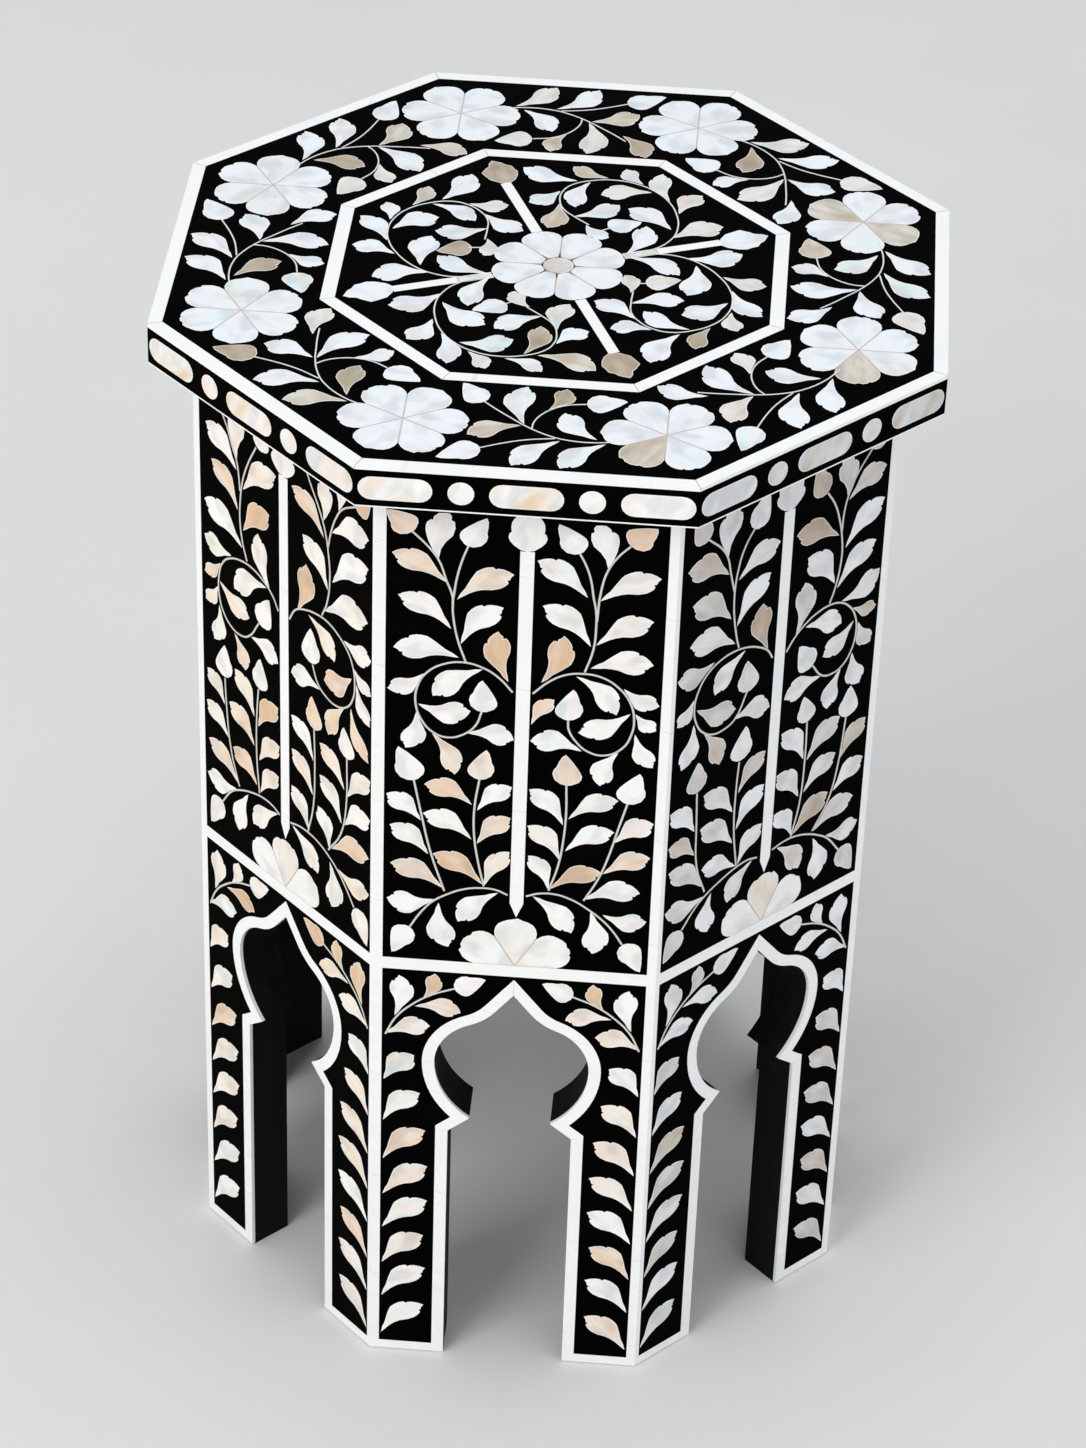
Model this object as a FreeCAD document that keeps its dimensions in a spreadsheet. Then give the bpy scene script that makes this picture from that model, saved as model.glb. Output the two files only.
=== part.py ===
import FreeCAD, Part
import math
import os
import Sketcher
from FreeCAD import Placement, Rotation, Vector

# Octagonal side table with shell inlay, built as an assembly of separate pieces.
# The front side faces -Y, +Z is up and the origin is on the floor at the middle of the table.

# Driving sizes, in millimetres and degrees
SIZES = {
    # Whole table, over the inlay
    "table_height": 457,
    "base_across": 273,
    "top_overhang": 16,
    # Boards, and the inlay layer that faces them
    "top_core": 16,
    "panel_core": 18,
    "inlay": 1.5,
    "floor_gap": 0.5,
    # Arch opening: its bulb rises from the shoulder, and its point from the widest level
    "gap_width": 50.8,
    "shoulder_height": 125.5,
    "shoulder_angle": 40,
    "bulb_width": 62.8,
    "bulb_rise": 36.5,
    "bulb_low_radius": 36,
    "bulb_top_radius": 22,
    "ogee_radius": 24,
    "apex_rise": 37.5,
    "apex_angle": 38,
    # Shell strips on the panels
    "arch_strip": 5,
    "strip_joint": 0.1,
    "corner_strip": 3.7,
    "rail_strip": 5.8,
    "rail_gap": 1.5,
    "foot_strip": 5,
    "centre_strip": 5.4,
    "centre_point": 7,
    "centre_low_gap": 1,
    "centre_top_gap": 26,
    # Shell strips on the top
    "border_strip": 5.4,
    "field_width": 57.6,
    "ring_strip": 5.6,
    "spoke_strip": 4.4,
    "spoke_gap": 0.5,
    "spoke_end_gap": 23.2,
    "rim_strip": 0.6,
    # Flowers: petals from the middle to the tip, and the room round those in the outer field
    "half_petal_length": 23.6,
    "centre_petal_length": 26.5,
    "eye_width": 12,
    "flower_gap": 7,
    # Hidden joinery
    "block_depth": 8,
    "block_tip": 1,
    "block_gap": 4,
    "spline_thickness": 4,
    "spline_width": 12,
    "spline_top_gap": 12,
    "cleat": 18,
    "peg": 6,
    "peg_length": 28,
}

# Shape of a petal, as shares of its length; widths are from its middle line
SHOULDER_WIDTH = 0.3
LOBE_REACH = 0.96
LOBE_WIDTH = 0.15
NOTCH_REACH = 0.93
# Width half way from shoulder to lobe, in a flower of six petals and one of eight
SIX_BULGE = 0.31
EIGHT_BULGE = 0.27

# Degrees that the flowers on the top lean from the line to their corner
FLOWER_LEAN = 7.5

# Flowers of six petals, and the half flowers that show three of them
PETALS = 6
PETAL_TURN = 360 / PETALS
PETAL_SPREAD = PETAL_TURN / 2

SIDES = 8
SIDE_TURN = 360 / SIDES
HALF_TURN = SIDE_TURN / 2
side_turns = [side * SIDE_TURN for side in range(SIDES)]
corner_turns = [turn + HALF_TURN for turn in side_turns]

# Distances from the axis of the table to its flat faces
PANEL_FACE = "(Sizes.base_across / 2)"
CORE_FACE = "(Sizes.base_across / 2 - Sizes.inlay)"
CORE_BACK = "(Sizes.base_across / 2 - Sizes.inlay - Sizes.panel_core)"
RIM_FACE = "(Sizes.base_across / 2 + Sizes.top_overhang)"
TOP_EDGE = f"({RIM_FACE} - Sizes.inlay)"
BORDER_IN = f"({RIM_FACE} - Sizes.border_strip)"
RING_OUT = f"({BORDER_IN} - Sizes.field_width)"
RING_IN = f"({RING_OUT} - Sizes.ring_strip)"
CLEAT_MIDDLE = f"({CORE_BACK} - Sizes.cleat / 2)"
FLOWER_RING = f"(({RING_OUT} + {BORDER_IN}) / 2 / cos({HALF_TURN} deg))"
TOP_PETAL = f"(Sizes.field_width / 2 / cos({HALF_TURN} deg) - Sizes.flower_gap)"
SPOKE_END = f"({RING_IN} / cos({HALF_TURN} deg) - Sizes.spoke_end_gap)"

# Heights above the floor
TOP_FACE = "Sizes.table_height"
TOP_BED = "(Sizes.table_height - Sizes.inlay)"
PANEL_TOP = "(Sizes.table_height - Sizes.inlay - Sizes.top_core)"
BULB_HEIGHT = "(Sizes.shoulder_height + Sizes.bulb_rise)"
APEX_HEIGHT = f"({BULB_HEIGHT} + Sizes.apex_rise)"
ARCH_CROWN = f"({APEX_HEIGHT} + Sizes.arch_strip / sin(Sizes.apex_angle * 1 deg))"
RAIL_LOW = f"({ARCH_CROWN} + Sizes.rail_gap)"
RAIL_HIGH = f"({RAIL_LOW} + Sizes.rail_strip)"
CLEAT_LOW = f"({PANEL_TOP} - Sizes.cleat)"

# Half the side of a regular octagon is its apothem times this
HALF_SIDE = f"tan({HALF_TURN} deg)"

doc = FreeCAD.newDocument("octagonal_side_table")
sheet = doc.addObject("Spreadsheet::Sheet", "Sizes")
for row, (alias, value) in enumerate(SIZES.items(), 1):
    sheet.set(f"A{row}", alias)
    sheet.set(f"B{row}", str(value))
    sheet.setAlias(f"B{row}", alias)
doc.recompute()


def number(formula):
    """The value of a formula over the sheet's sizes."""
    result = sheet.evalExpression(formula.replace("Sizes.", ""))
    return float(getattr(result, "Value", result))


def turned(angle):
    """A placement turned about the table's axis."""
    return Placement(Vector(), Rotation(Vector(0, 0, 1), angle))


def wedge(name, angle, front, back, low, high):
    """A block between a front and a back rectangle, each given as distance, left and right."""
    piece = doc.addObject("Part::Wedge", name)
    formulas = {
        "Ymin": f"-{front[0]}",
        "Xmin": front[1],
        "Xmax": front[2],
        "Ymax": f"-{back[0]}",
        "X2min": back[1],
        "X2max": back[2],
        "Zmin": low,
        "Z2min": low,
        "Zmax": high,
        "Z2max": high,
    }
    for size_name, formula in formulas.items():
        piece.setExpression(size_name, formula)
    piece.Placement = turned(angle)
    return piece


def stave(name, angle, outer, inner, low, high, joint="0"):
    """One side of a mitred octagonal ring, with an open joint between the sides if one is given."""
    front_half = f"({outer} * {HALF_SIDE} - {joint} / 2)"
    back_half = f"({inner} * {HALF_SIDE} - {joint} / 2)"
    front = (outer, f"-{front_half}", front_half)
    back = (inner, f"-{back_half}", back_half)
    return wedge(name, angle, front, back, low, high)


def ring(name, outer, inner, low, high, joint="0"):
    """The eight sides of a mitred octagonal ring."""
    return [
        stave(f"{name}_{side}", turn, outer, inner, low, high, joint)
        for side, turn in enumerate(side_turns, 1)
    ]


def bar(name, angle, outer, inner, width, low, high):
    """A square-ended bar across the line from the axis."""
    return wedge(
        name,
        angle,
        (outer, f"-{width} / 2", f"{width} / 2"),
        (inner, f"-{width} / 2", f"{width} / 2"),
        low,
        high,
    )


def octagon(name, angle, apothem, low, thickness):
    """An octagonal board; a half turn sets its flats square to X and Y."""
    piece = doc.addObject("Part::Prism", name)
    piece.Polygon = SIDES
    piece.setExpression("Circumradius", f"{apothem} / cos({HALF_TURN} deg)")
    piece.setExpression("Height", thickness)
    piece.Placement = turned(angle)
    piece.setExpression("Placement.Base.z", low)
    return piece


def group(name, pieces):
    """Separate solids held in one object."""
    piece = doc.addObject("Part::Compound", name)
    piece.Links = pieces
    return piece


def cut(name, base, tools):
    """A piece with seats cut for what lies in it."""
    piece = doc.addObject("Part::Cut", name)
    piece.Base = base
    piece.Tool = tools[0] if len(tools) == 1 else group(f"{name}_seats", tools)
    return piece


def upright_sketch(name, distance):
    """A sketch whose plane stands upright, facing the front, at a distance from the axis."""
    sketch = doc.addObject("Sketcher::SketchObject", name)
    sketch.Placement = Placement(Vector(), Rotation(Vector(1, 0, 0), 90))
    sketch.setExpression("Placement.Base.y", f"-{distance}")
    return sketch


def flat_sketch(name, height):
    """A level sketch at a height above the floor."""
    sketch = doc.addObject("Sketcher::SketchObject", name)
    sketch.setExpression("Placement.Base.z", height)
    return sketch


def hold(sketch, kind, *places, formula=None):
    """Add a constraint; a formula ties its size to the sheet."""
    if formula is None:
        sketch.addConstraint(Sketcher.Constraint(kind, *places))
        return
    value = number(formula)
    if kind == "Angle":
        value = math.radians(value)
    index = sketch.addConstraint(Sketcher.Constraint(kind, *places, value))
    sketch.setExpression(f"Constraints[{index}]", formula)


def hold_point(sketch, curve, end, across, along):
    """Tie a point of a sketch to formulas for its two coordinates."""
    for kind, formula in (("DistanceX", across), ("DistanceY", along)):
        if number(formula) < 0:
            hold(sketch, kind, curve, end, -1, 1, formula=f"-({formula})")
        else:
            hold(sketch, kind, -1, 1, curve, end, formula=formula)


def polygon(sketch, corners):
    """A closed outline of straight lines, with every corner tied to its formulas."""
    points = [Vector(number(across), number(along), 0) for across, along in corners]
    lines = [
        sketch.addGeometry(Part.LineSegment(point, points[(index + 1) % len(points)]))
        for index, point in enumerate(points)
    ]
    for index, line in enumerate(lines):
        hold(sketch, "Coincident", line, 2, lines[(index + 1) % len(lines)], 1)
    for line, (across, along) in zip(lines, corners):
        hold_point(sketch, line, 1, across, along)


def petal(sketch, middle, angle, length, root, spread, bulge):
    """A petal with straight sides and a notched tip; root and spread set its narrow end."""
    axis = Vector(math.cos(math.radians(angle)), math.sin(math.radians(angle)), 0)
    cross = Vector(-axis.y, axis.x, 0)
    shoulder_reach = SHOULDER_WIDTH / math.tan(math.radians(spread))
    shape = [
        (shoulder_reach, SHOULDER_WIDTH),
        ((shoulder_reach + LOBE_REACH) / 2, bulge),
        (LOBE_REACH, LOBE_WIDTH),
        (NOTCH_REACH, 0),
    ]
    shape += [(reach, -width) for reach, width in shape[2::-1]]
    corners = []
    for reach, width in shape:
        point = axis * reach + cross * width
        corners.append(
            (
                f"({middle[0]} + {length} * ({point.x:.6f}))",
                f"({middle[1]} + {length} * ({point.y:.6f}))",
            )
        )
    root_width = math.tan(math.radians(spread))
    root_ends = [axis - cross * root_width, axis + cross * root_width] if root else [Vector()]
    for point in root_ends:
        corners.append(
            (
                f"({middle[0]} + {root or 0} * ({point.x:.6f}))",
                f"({middle[1]} + {root or 0} * ({point.y:.6f}))",
            )
        )
    polygon(sketch, corners)


def extrude(name, sketch, length, angle, direction=Vector(0, -1, 0)):
    """A sketch drawn out toward the front or upward, then turned to its side of the table."""
    piece = doc.addObject("Part::Extrusion", name)
    piece.Base = sketch
    piece.DirMode = "Custom"
    piece.Dir = direction
    piece.Solid = True
    piece.setExpression("LengthFwd", length)
    piece.Placement = turned(angle)
    return piece


def arch_half(sketch, side, offset):
    """Draw one half of the arch, offset outward from the opening, and return its two ends."""
    gap = f"(Sizes.gap_width / 2 + {offset})"
    bulb = f"(Sizes.bulb_width / 2 + {offset})"
    low_radius = f"(Sizes.bulb_low_radius + {offset})"
    top_radius = f"(Sizes.bulb_top_radius + {offset})"
    ogee_radius = f"(Sizes.ogee_radius - {offset})"
    rise = "(Sizes.shoulder_angle * 1 deg)"
    shoulder = f"(Sizes.shoulder_height + {offset} * (1 - sin({rise})) / cos({rise}))"
    apex = f"({APEX_HEIGHT} + {offset} / sin(Sizes.apex_angle * 1 deg))"

    # Starting places, worked out so that the solver begins at the answer
    slope = math.radians(number("Sizes.shoulder_angle"))
    apex_turn = math.radians(number("Sizes.apex_angle"))
    low_centre = Vector(number(bulb) - number(low_radius), number(BULB_HEIGHT), 0)
    top_centre = Vector(number(bulb) - number(top_radius), number(BULB_HEIGHT), 0)
    shoulder_point = Vector(number(gap), number(shoulder), 0)
    inward = Vector(-math.cos(slope), math.sin(slope), 0)
    reach = shoulder_point - low_centre
    along = reach.dot(inward)
    cusp_run = -along - math.sqrt(along**2 - reach.dot(reach) + number(low_radius) ** 2)
    cusp = shoulder_point + inward * cusp_run
    apex_point = Vector(0, number(apex), 0)
    down = Vector(math.sin(apex_turn), -math.cos(apex_turn), 0)
    outward = Vector(math.cos(apex_turn), math.sin(apex_turn), 0)
    span = number(top_radius) + number(ogee_radius)
    reach = apex_point - top_centre + outward * number(ogee_radius)
    along = reach.dot(down)
    line_run = -along - math.sqrt(along**2 - reach.dot(reach) + span**2)
    line_start = apex_point + down * line_run
    ogee_centre = line_start + outward * number(ogee_radius)
    bend = ogee_centre - top_centre
    bend_angle = math.atan2(bend.y, bend.x)
    cusp_angle = math.atan2(cusp.y - low_centre.y, cusp.x - low_centre.x)

    def place(point):
        return Vector(side * point.x, point.y, 0)

    def arc(centre, radius, start, end):
        if side < 0:
            start, end = math.pi - end, math.pi - start
        circle = Part.Circle(place(centre), Vector(0, 0, 1), number(radius))
        return sketch.addGeometry(Part.ArcOfCircle(circle, start, end))

    floor_point = Vector(number(gap), 0, 0)
    leg = sketch.addGeometry(Part.LineSegment(place(floor_point), place(shoulder_point)))
    ledge = sketch.addGeometry(Part.LineSegment(place(shoulder_point), place(cusp)))
    low_arc = arc(low_centre, low_radius, cusp_angle, 0)
    top_arc = arc(top_centre, top_radius, 0, bend_angle)
    ogee_arc = arc(ogee_centre, ogee_radius, math.pi + apex_turn, math.pi + bend_angle)
    point_line = sketch.addGeometry(Part.LineSegment(place(line_start), place(apex_point)))
    first, second = (1, 2) if side > 0 else (2, 1)

    hold(sketch, "Coincident", leg, 2, ledge, 1)
    hold(sketch, "Coincident", ledge, 2, low_arc, first)
    hold(sketch, "Coincident", low_arc, second, top_arc, first)
    hold(sketch, "Tangent", top_arc, second, ogee_arc, second)
    hold(sketch, "Tangent", ogee_arc, first, point_line, 1)
    hold(sketch, "Vertical", leg)
    hold(sketch, "PointOnObject", leg, 1, -1)
    hold_point(sketch, leg, 2, gap if side > 0 else f"-{gap}", shoulder)
    hold_point(sketch, low_arc, second, bulb if side > 0 else f"-{bulb}", BULB_HEIGHT)
    hold(sketch, "DistanceY", -1, 1, low_arc, 3, formula=BULB_HEIGHT)
    hold(sketch, "DistanceY", -1, 1, top_arc, 3, formula=BULB_HEIGHT)
    hold(sketch, "Radius", low_arc, formula=low_radius)
    hold(sketch, "Radius", top_arc, formula=top_radius)
    hold(sketch, "Radius", ogee_arc, formula=ogee_radius)
    lean = "90 deg + Sizes.apex_angle * 1 deg" if side > 0 else "90 deg - Sizes.apex_angle * 1 deg"
    climb = f"180 deg - {rise}" if side > 0 else rise
    hold(sketch, "Angle", point_line, formula=lean)
    hold(sketch, "Angle", ledge, formula=climb)
    if side > 0:
        hold(sketch, "PointOnObject", point_line, 2, -2)
        hold(sketch, "DistanceY", -1, 1, point_line, 2, formula=apex)
    return leg, point_line


def arch_sketch(name, distance, offset):
    """The closed outline of an arch, down to the floor."""
    sketch = upright_sketch(name, distance)
    right_leg, right_point = arch_half(sketch, 1, offset)
    left_leg, left_point = arch_half(sketch, -1, offset)
    hold(sketch, "Coincident", left_point, 2, right_point, 2)
    half_gap = number(f"Sizes.gap_width / 2 + {offset}")
    floor_line = sketch.addGeometry(Part.LineSegment(Vector(-half_gap, 0, 0), Vector(half_gap, 0, 0)))
    hold(sketch, "Coincident", floor_line, 1, left_leg, 1)
    hold(sketch, "Coincident", floor_line, 2, right_leg, 1)
    return sketch


nodes = []

# Cleats, and square pegs up through them into the top board
pegs = [
    bar(
        f"peg_{side}",
        turn,
        f"({CLEAT_MIDDLE} + Sizes.peg / 2)",
        f"({CLEAT_MIDDLE} - Sizes.peg / 2)",
        "Sizes.peg",
        CLEAT_LOW,
        f"{CLEAT_LOW} + Sizes.peg_length",
    )
    for side, turn in enumerate(side_turns, 1)
]
nodes.append(group("cleat_pegs", pegs))
for side, turn in enumerate(side_turns, 1):
    blank = stave(
        f"cleat_blank_{side}", turn, CORE_BACK, f"({CORE_BACK} - Sizes.cleat)", CLEAT_LOW, PANEL_TOP
    )
    nodes.append(cut(f"cleat_{side}", blank, [pegs[side - 1]]))
top_blank = octagon("top_blank", HALF_TURN, TOP_EDGE, PANEL_TOP, "Sizes.top_core")
nodes.append(cut("top_board", top_blank, pegs))

# Splines in the mitres and glue blocks behind them
MITRE_MIDDLE = f"(({CORE_FACE} + {CORE_BACK}) / 2 / cos({HALF_TURN} deg))"
INNER_CORNER = f"({CORE_BACK} / cos({HALF_TURN} deg))"
CORNER_SPREAD = f"tan({90 - HALF_TURN} deg)"
splines = []
for side, turn in enumerate(corner_turns, 1):
    splines.append(
        bar(
            f"spline_{side}",
            turn,
            f"({MITRE_MIDDLE} + Sizes.spline_thickness / 2)",
            f"({MITRE_MIDDLE} - Sizes.spline_thickness / 2)",
            "Sizes.spline_width",
            RAIL_HIGH,
            f"{PANEL_TOP} - Sizes.spline_top_gap",
        )
    )
    nodes.append(
        wedge(
            f"corner_block_{side}",
            turn,
            (
                f"({INNER_CORNER} - Sizes.block_tip)",
                f"-Sizes.block_tip * {CORNER_SPREAD}",
                f"Sizes.block_tip * {CORNER_SPREAD}",
            ),
            (
                f"({INNER_CORNER} - Sizes.block_depth)",
                f"-Sizes.block_depth * {CORNER_SPREAD}",
                f"Sizes.block_depth * {CORNER_SPREAD}",
            ),
            RAIL_HIGH,
            f"{CLEAT_LOW} - Sizes.block_gap",
        )
    )
nodes.append(group("mitre_splines", splines))

# Side panels, each a mitred board with its arch and its spline slots
opening = arch_sketch("arch_opening", f"({CORE_BACK} - Sizes.inlay)", "0 * Sizes.arch_strip")
arch_outer = arch_sketch("arch_outer", CORE_FACE, "Sizes.arch_strip")
cutters = []
for side, turn in enumerate(side_turns, 1):
    blank = stave(f"panel_blank_{side}", turn, CORE_FACE, CORE_BACK, "0", PANEL_TOP)
    cutter = extrude(
        f"arch_cutter_{side}", opening, "Sizes.panel_core + 3 * Sizes.inlay", turn
    )
    cutters.append(cutter)
    nodes.append(
        cut(f"side_panel_{side}", blank, [cutter, splines[side - 1], splines[side - 2]])
    )

# Arch strips, cut into lengths at the apex, the bulb and the shoulder
arch_blanks = []
arch_strips = []
for side, turn in enumerate(side_turns, 1):
    blank = extrude(f"arch_blank_{side}", arch_outer, "Sizes.inlay", turn)
    arch_blanks.append(blank)
    front = f"({PANEL_FACE} + Sizes.inlay)"
    back = f"({CORE_FACE} - Sizes.inlay)"
    across = "(Sizes.bulb_width * 2)"
    joint = "Sizes.strip_joint"
    saw_cuts = [
        bar(f"apex_cut_{side}", turn, front, back, joint, BULB_HEIGHT, RAIL_LOW),
        bar(
            f"bulb_cut_{side}",
            turn,
            front,
            back,
            across,
            f"{BULB_HEIGHT} - {joint} / 2",
            f"{BULB_HEIGHT} + {joint} / 2",
        ),
        bar(
            f"shoulder_cut_{side}",
            turn,
            front,
            back,
            across,
            f"Sizes.shoulder_height - {joint}",
            "Sizes.shoulder_height",
        ),
        bar(f"floor_cut_{side}", turn, front, back, across, "-Sizes.floor_gap", "Sizes.floor_gap"),
    ]
    arch_strips.append(cut(f"arch_lengths_{side}", blank, [cutters[side - 1]] + saw_cuts))
nodes.append(group("arch_strips", arch_strips))

# Corner strips, one up each corner, on the panel that lies nearer the front
CORNER = f"({PANEL_FACE} * {HALF_SIDE})"
RIGHT_FRONT = (PANEL_FACE, f"{CORNER} - Sizes.corner_strip", CORNER)
RIGHT_BACK = (CORE_FACE, f"{CORNER} - Sizes.corner_strip", f"{CORNER} + Sizes.inlay")
LEFT_FRONT = (PANEL_FACE, f"-{CORNER}", f"-{CORNER} + Sizes.corner_strip")
LEFT_BACK = (CORE_FACE, f"-{CORNER} - Sizes.inlay", f"-{CORNER} + Sizes.corner_strip")
half_way = SIDES // 2
corner_strips = []
for step in range(half_way):
    turn = step * SIDE_TURN
    corner_strips.append(
        wedge(f"corner_right_{step}", turn, RIGHT_FRONT, RIGHT_BACK, "Sizes.floor_gap", PANEL_TOP)
    )
    corner_strips.append(
        wedge(f"corner_left_{step}", -turn, LEFT_FRONT, LEFT_BACK, "Sizes.floor_gap", PANEL_TOP)
    )
nodes.append(group("corner_strips", corner_strips))

# Level strips across the panels and at the feet, let in between the corner strips
rail_rings = ring("rail", PANEL_FACE, CORE_FACE, RAIL_LOW, RAIL_HIGH)
nodes.append(cut("rail_strips", group("rail_ring", rail_rings), corner_strips))
foot_rings = ring("foot", PANEL_FACE, CORE_FACE, "Sizes.floor_gap", "Sizes.foot_strip")
nodes.append(cut("foot_strips", group("foot_ring", foot_rings), corner_strips + arch_blanks))

# Centre strips, pointed at the lower end
CENTRE_LOW = f"({RAIL_HIGH} + Sizes.half_petal_length + Sizes.centre_low_gap)"
CENTRE_HIGH = f"({PANEL_TOP} - Sizes.centre_top_gap)"
centre_sketch = upright_sketch("centre_outline", CORE_FACE)
polygon(
    centre_sketch,
    [
        ("0", CENTRE_LOW),
        ("Sizes.centre_strip / 2", f"{CENTRE_LOW} + Sizes.centre_point"),
        ("Sizes.centre_strip / 2", CENTRE_HIGH),
        ("-Sizes.centre_strip / 2", CENTRE_HIGH),
        ("-Sizes.centre_strip / 2", f"{CENTRE_LOW} + Sizes.centre_point"),
    ],
)
centre_strips = [
    extrude(f"centre_{side}", centre_sketch, "Sizes.inlay", turn)
    for side, turn in enumerate(side_turns, 1)
]
nodes.append(group("centre_strips", centre_strips))

# Half flowers, three petals standing on each rail strip
half_flower_sketches = []
for step in range(PETALS // 2):
    sketch = upright_sketch(f"half_flower_petal_{step}", CORE_FACE)
    angle = PETAL_SPREAD + PETAL_TURN * step
    petal(sketch, ("0", RAIL_HIGH), angle, "Sizes.half_petal_length", None, PETAL_SPREAD, SIX_BULGE)
    half_flower_sketches.append(sketch)
half_flowers = [
    [
        extrude(f"half_flower_{side}_{step}", sketch, "Sizes.inlay", turn)
        for step, sketch in enumerate(half_flower_sketches)
    ]
    for side, turn in enumerate(side_turns, 1)
]
nodes.append(group("half_flowers", [piece for flower in half_flowers for piece in flower]))

# Resin that fills the panel faces round the strips and the half flowers
for side, turn in enumerate(side_turns, 1):
    blank = stave(f"resin_blank_{side}", turn, PANEL_FACE, CORE_FACE, "Sizes.floor_gap", PANEL_TOP)
    seats = [
        arch_blanks[side - 1],
        centre_strips[side - 1],
        rail_rings[side - 1],
        foot_rings[side - 1],
        *half_flowers[side - 1],
    ]
    nodes.append(cut(f"panel_resin_{side}", blank, seats + corner_strips))

# Strips on the top
JOINT = "Sizes.strip_joint"
border_strips = ring("border", RIM_FACE, BORDER_IN, TOP_BED, TOP_FACE, JOINT)
nodes.append(group("top_border_strips", border_strips))
ring_seats = ring("ring_seat", RING_OUT, RING_IN, TOP_BED, TOP_FACE)
ring_strips = ring("ring", RING_OUT, RING_IN, TOP_BED, TOP_FACE, JOINT)
nodes.append(group("inner_ring_strips", ring_strips))
spokes = [
    bar(
        f"spoke_{side}",
        turn,
        SPOKE_END,
        "(Sizes.centre_petal_length + Sizes.spoke_gap)",
        "Sizes.spoke_strip",
        TOP_BED,
        TOP_FACE,
    )
    for side, turn in enumerate(corner_turns[::2], 1)
]
nodes.append(group("spoke_strips", spokes))

# Flower in the middle of the top
UPWARD = Vector(0, 0, 1)
EYE = "(Sizes.eye_width / 2)"
centre_petal = flat_sketch("centre_petal", TOP_BED)
petal(centre_petal, ("0", "0"), -90, "Sizes.centre_petal_length", EYE, HALF_TURN, EIGHT_BULGE)
centre_flower = [octagon("flower_eye", 0, EYE, TOP_BED, "Sizes.inlay")]
for side, turn in enumerate(corner_turns, 1):
    centre_flower.append(extrude(f"centre_petal_{side}", centre_petal, "Sizes.inlay", turn, UPWARD))
nodes.append(group("centre_flower", centre_flower))

# Flowers toward the corners of the top, leaning to one side and the other in turn
top_flowers = []
for lean, turns in ((1, corner_turns[::2]), (-1, corner_turns[1::2])):
    for step in range(PETALS):
        sketch = flat_sketch(f"top_petal_{lean}_{step}", TOP_BED)
        angle = -90 + lean * FLOWER_LEAN + PETAL_TURN * step
        petal(sketch, ("0", f"-{FLOWER_RING}"), angle, TOP_PETAL, None, PETAL_SPREAD, SIX_BULGE)
        for turn in turns:
            name = f"top_petal_{round(turn)}_{step}"
            top_flowers.append(extrude(name, sketch, "Sizes.inlay", turn, UPWARD))
nodes.append(group("top_flowers", top_flowers))

# Resin that fills the top round its strips and flowers
top_slab = octagon("top_slab", HALF_TURN, BORDER_IN, TOP_BED, "Sizes.inlay")
nodes.append(cut("top_resin", top_slab, ring_seats + spokes + centre_flower + top_flowers))

# Rim of the top: a thin shell line along the lower edge, and resin from there up to the border strips
RIM_LINE_TOP = f"({PANEL_TOP} + Sizes.rim_strip)"
rim_seats = ring("rim_seat", RIM_FACE, TOP_EDGE, PANEL_TOP, RIM_LINE_TOP)
rim_lines = ring("rim_line", RIM_FACE, TOP_EDGE, PANEL_TOP, RIM_LINE_TOP, JOINT)
nodes.append(group("rim_strips", rim_lines))
rim_blanks = ring("rim_blank", RIM_FACE, TOP_EDGE, PANEL_TOP, TOP_BED)
nodes.append(cut("rim_resin", group("rim_ring", rim_blanks), rim_seats))

doc.recompute()

# Check every object, then write each node to its own file
for item in doc.Objects:
    if "Invalid" in item.State or "Error" in item.State:
        raise RuntimeError(f"{item.Label} did not recompute: {item.State}")
os.makedirs("parts", exist_ok=True)
for node in nodes:
    if node.Shape.isNull() or not node.Shape.isValid():
        raise RuntimeError(f"{node.Label} has no valid shape")
    node.Shape.exportStep(f"parts/{node.Label}.step")
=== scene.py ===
"""Looks of the octagonal side table: shell leaves, buds, stems and petals set in black resin."""

import math
import random

import bpy
from mathutils import Matrix, Vector


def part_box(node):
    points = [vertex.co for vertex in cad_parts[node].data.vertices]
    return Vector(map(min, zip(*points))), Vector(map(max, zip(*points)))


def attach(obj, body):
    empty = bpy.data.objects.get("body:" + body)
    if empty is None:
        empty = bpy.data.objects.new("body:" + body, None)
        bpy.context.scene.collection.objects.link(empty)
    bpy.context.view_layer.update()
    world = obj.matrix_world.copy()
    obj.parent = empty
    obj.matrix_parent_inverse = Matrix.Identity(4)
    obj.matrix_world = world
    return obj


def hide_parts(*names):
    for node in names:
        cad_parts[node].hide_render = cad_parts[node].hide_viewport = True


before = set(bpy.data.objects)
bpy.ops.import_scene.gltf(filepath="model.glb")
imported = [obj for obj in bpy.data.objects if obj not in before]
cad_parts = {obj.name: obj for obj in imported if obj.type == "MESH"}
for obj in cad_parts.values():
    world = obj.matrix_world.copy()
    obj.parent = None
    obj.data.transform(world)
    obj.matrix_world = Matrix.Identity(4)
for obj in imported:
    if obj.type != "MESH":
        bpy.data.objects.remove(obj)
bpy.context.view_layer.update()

# Units and places taken from the frame, in metres
MM = 0.001
SIDES = 8
SIDE_TURN = 360 / SIDES
CORNER_TURN = SIDE_TURN / 2
PANEL_FACE = -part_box("panel_resin_1")[0].y
RIM_FACE = -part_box("rim_resin")[0].y
TOP_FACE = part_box("top_resin")[1].z
RAIL_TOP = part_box("rail_strips")[1].z
CENTRE_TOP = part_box("centre_strips")[1].z
CORNER_HALF = PANEL_FACE * math.tan(math.radians(CORNER_TURN))

# Shell plates and stems, in millimetres
PLATE_PROUD = 0.06
PLATE_THICKNESS = 0.6
PETAL_THICKNESS = 1.4
EDGE_WIDTH = 0.46
EDGE_RISE = 0.03
PANEL_STEM_RADIUS = 0.48
TOP_STEM_RADIUS = 0.35

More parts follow.
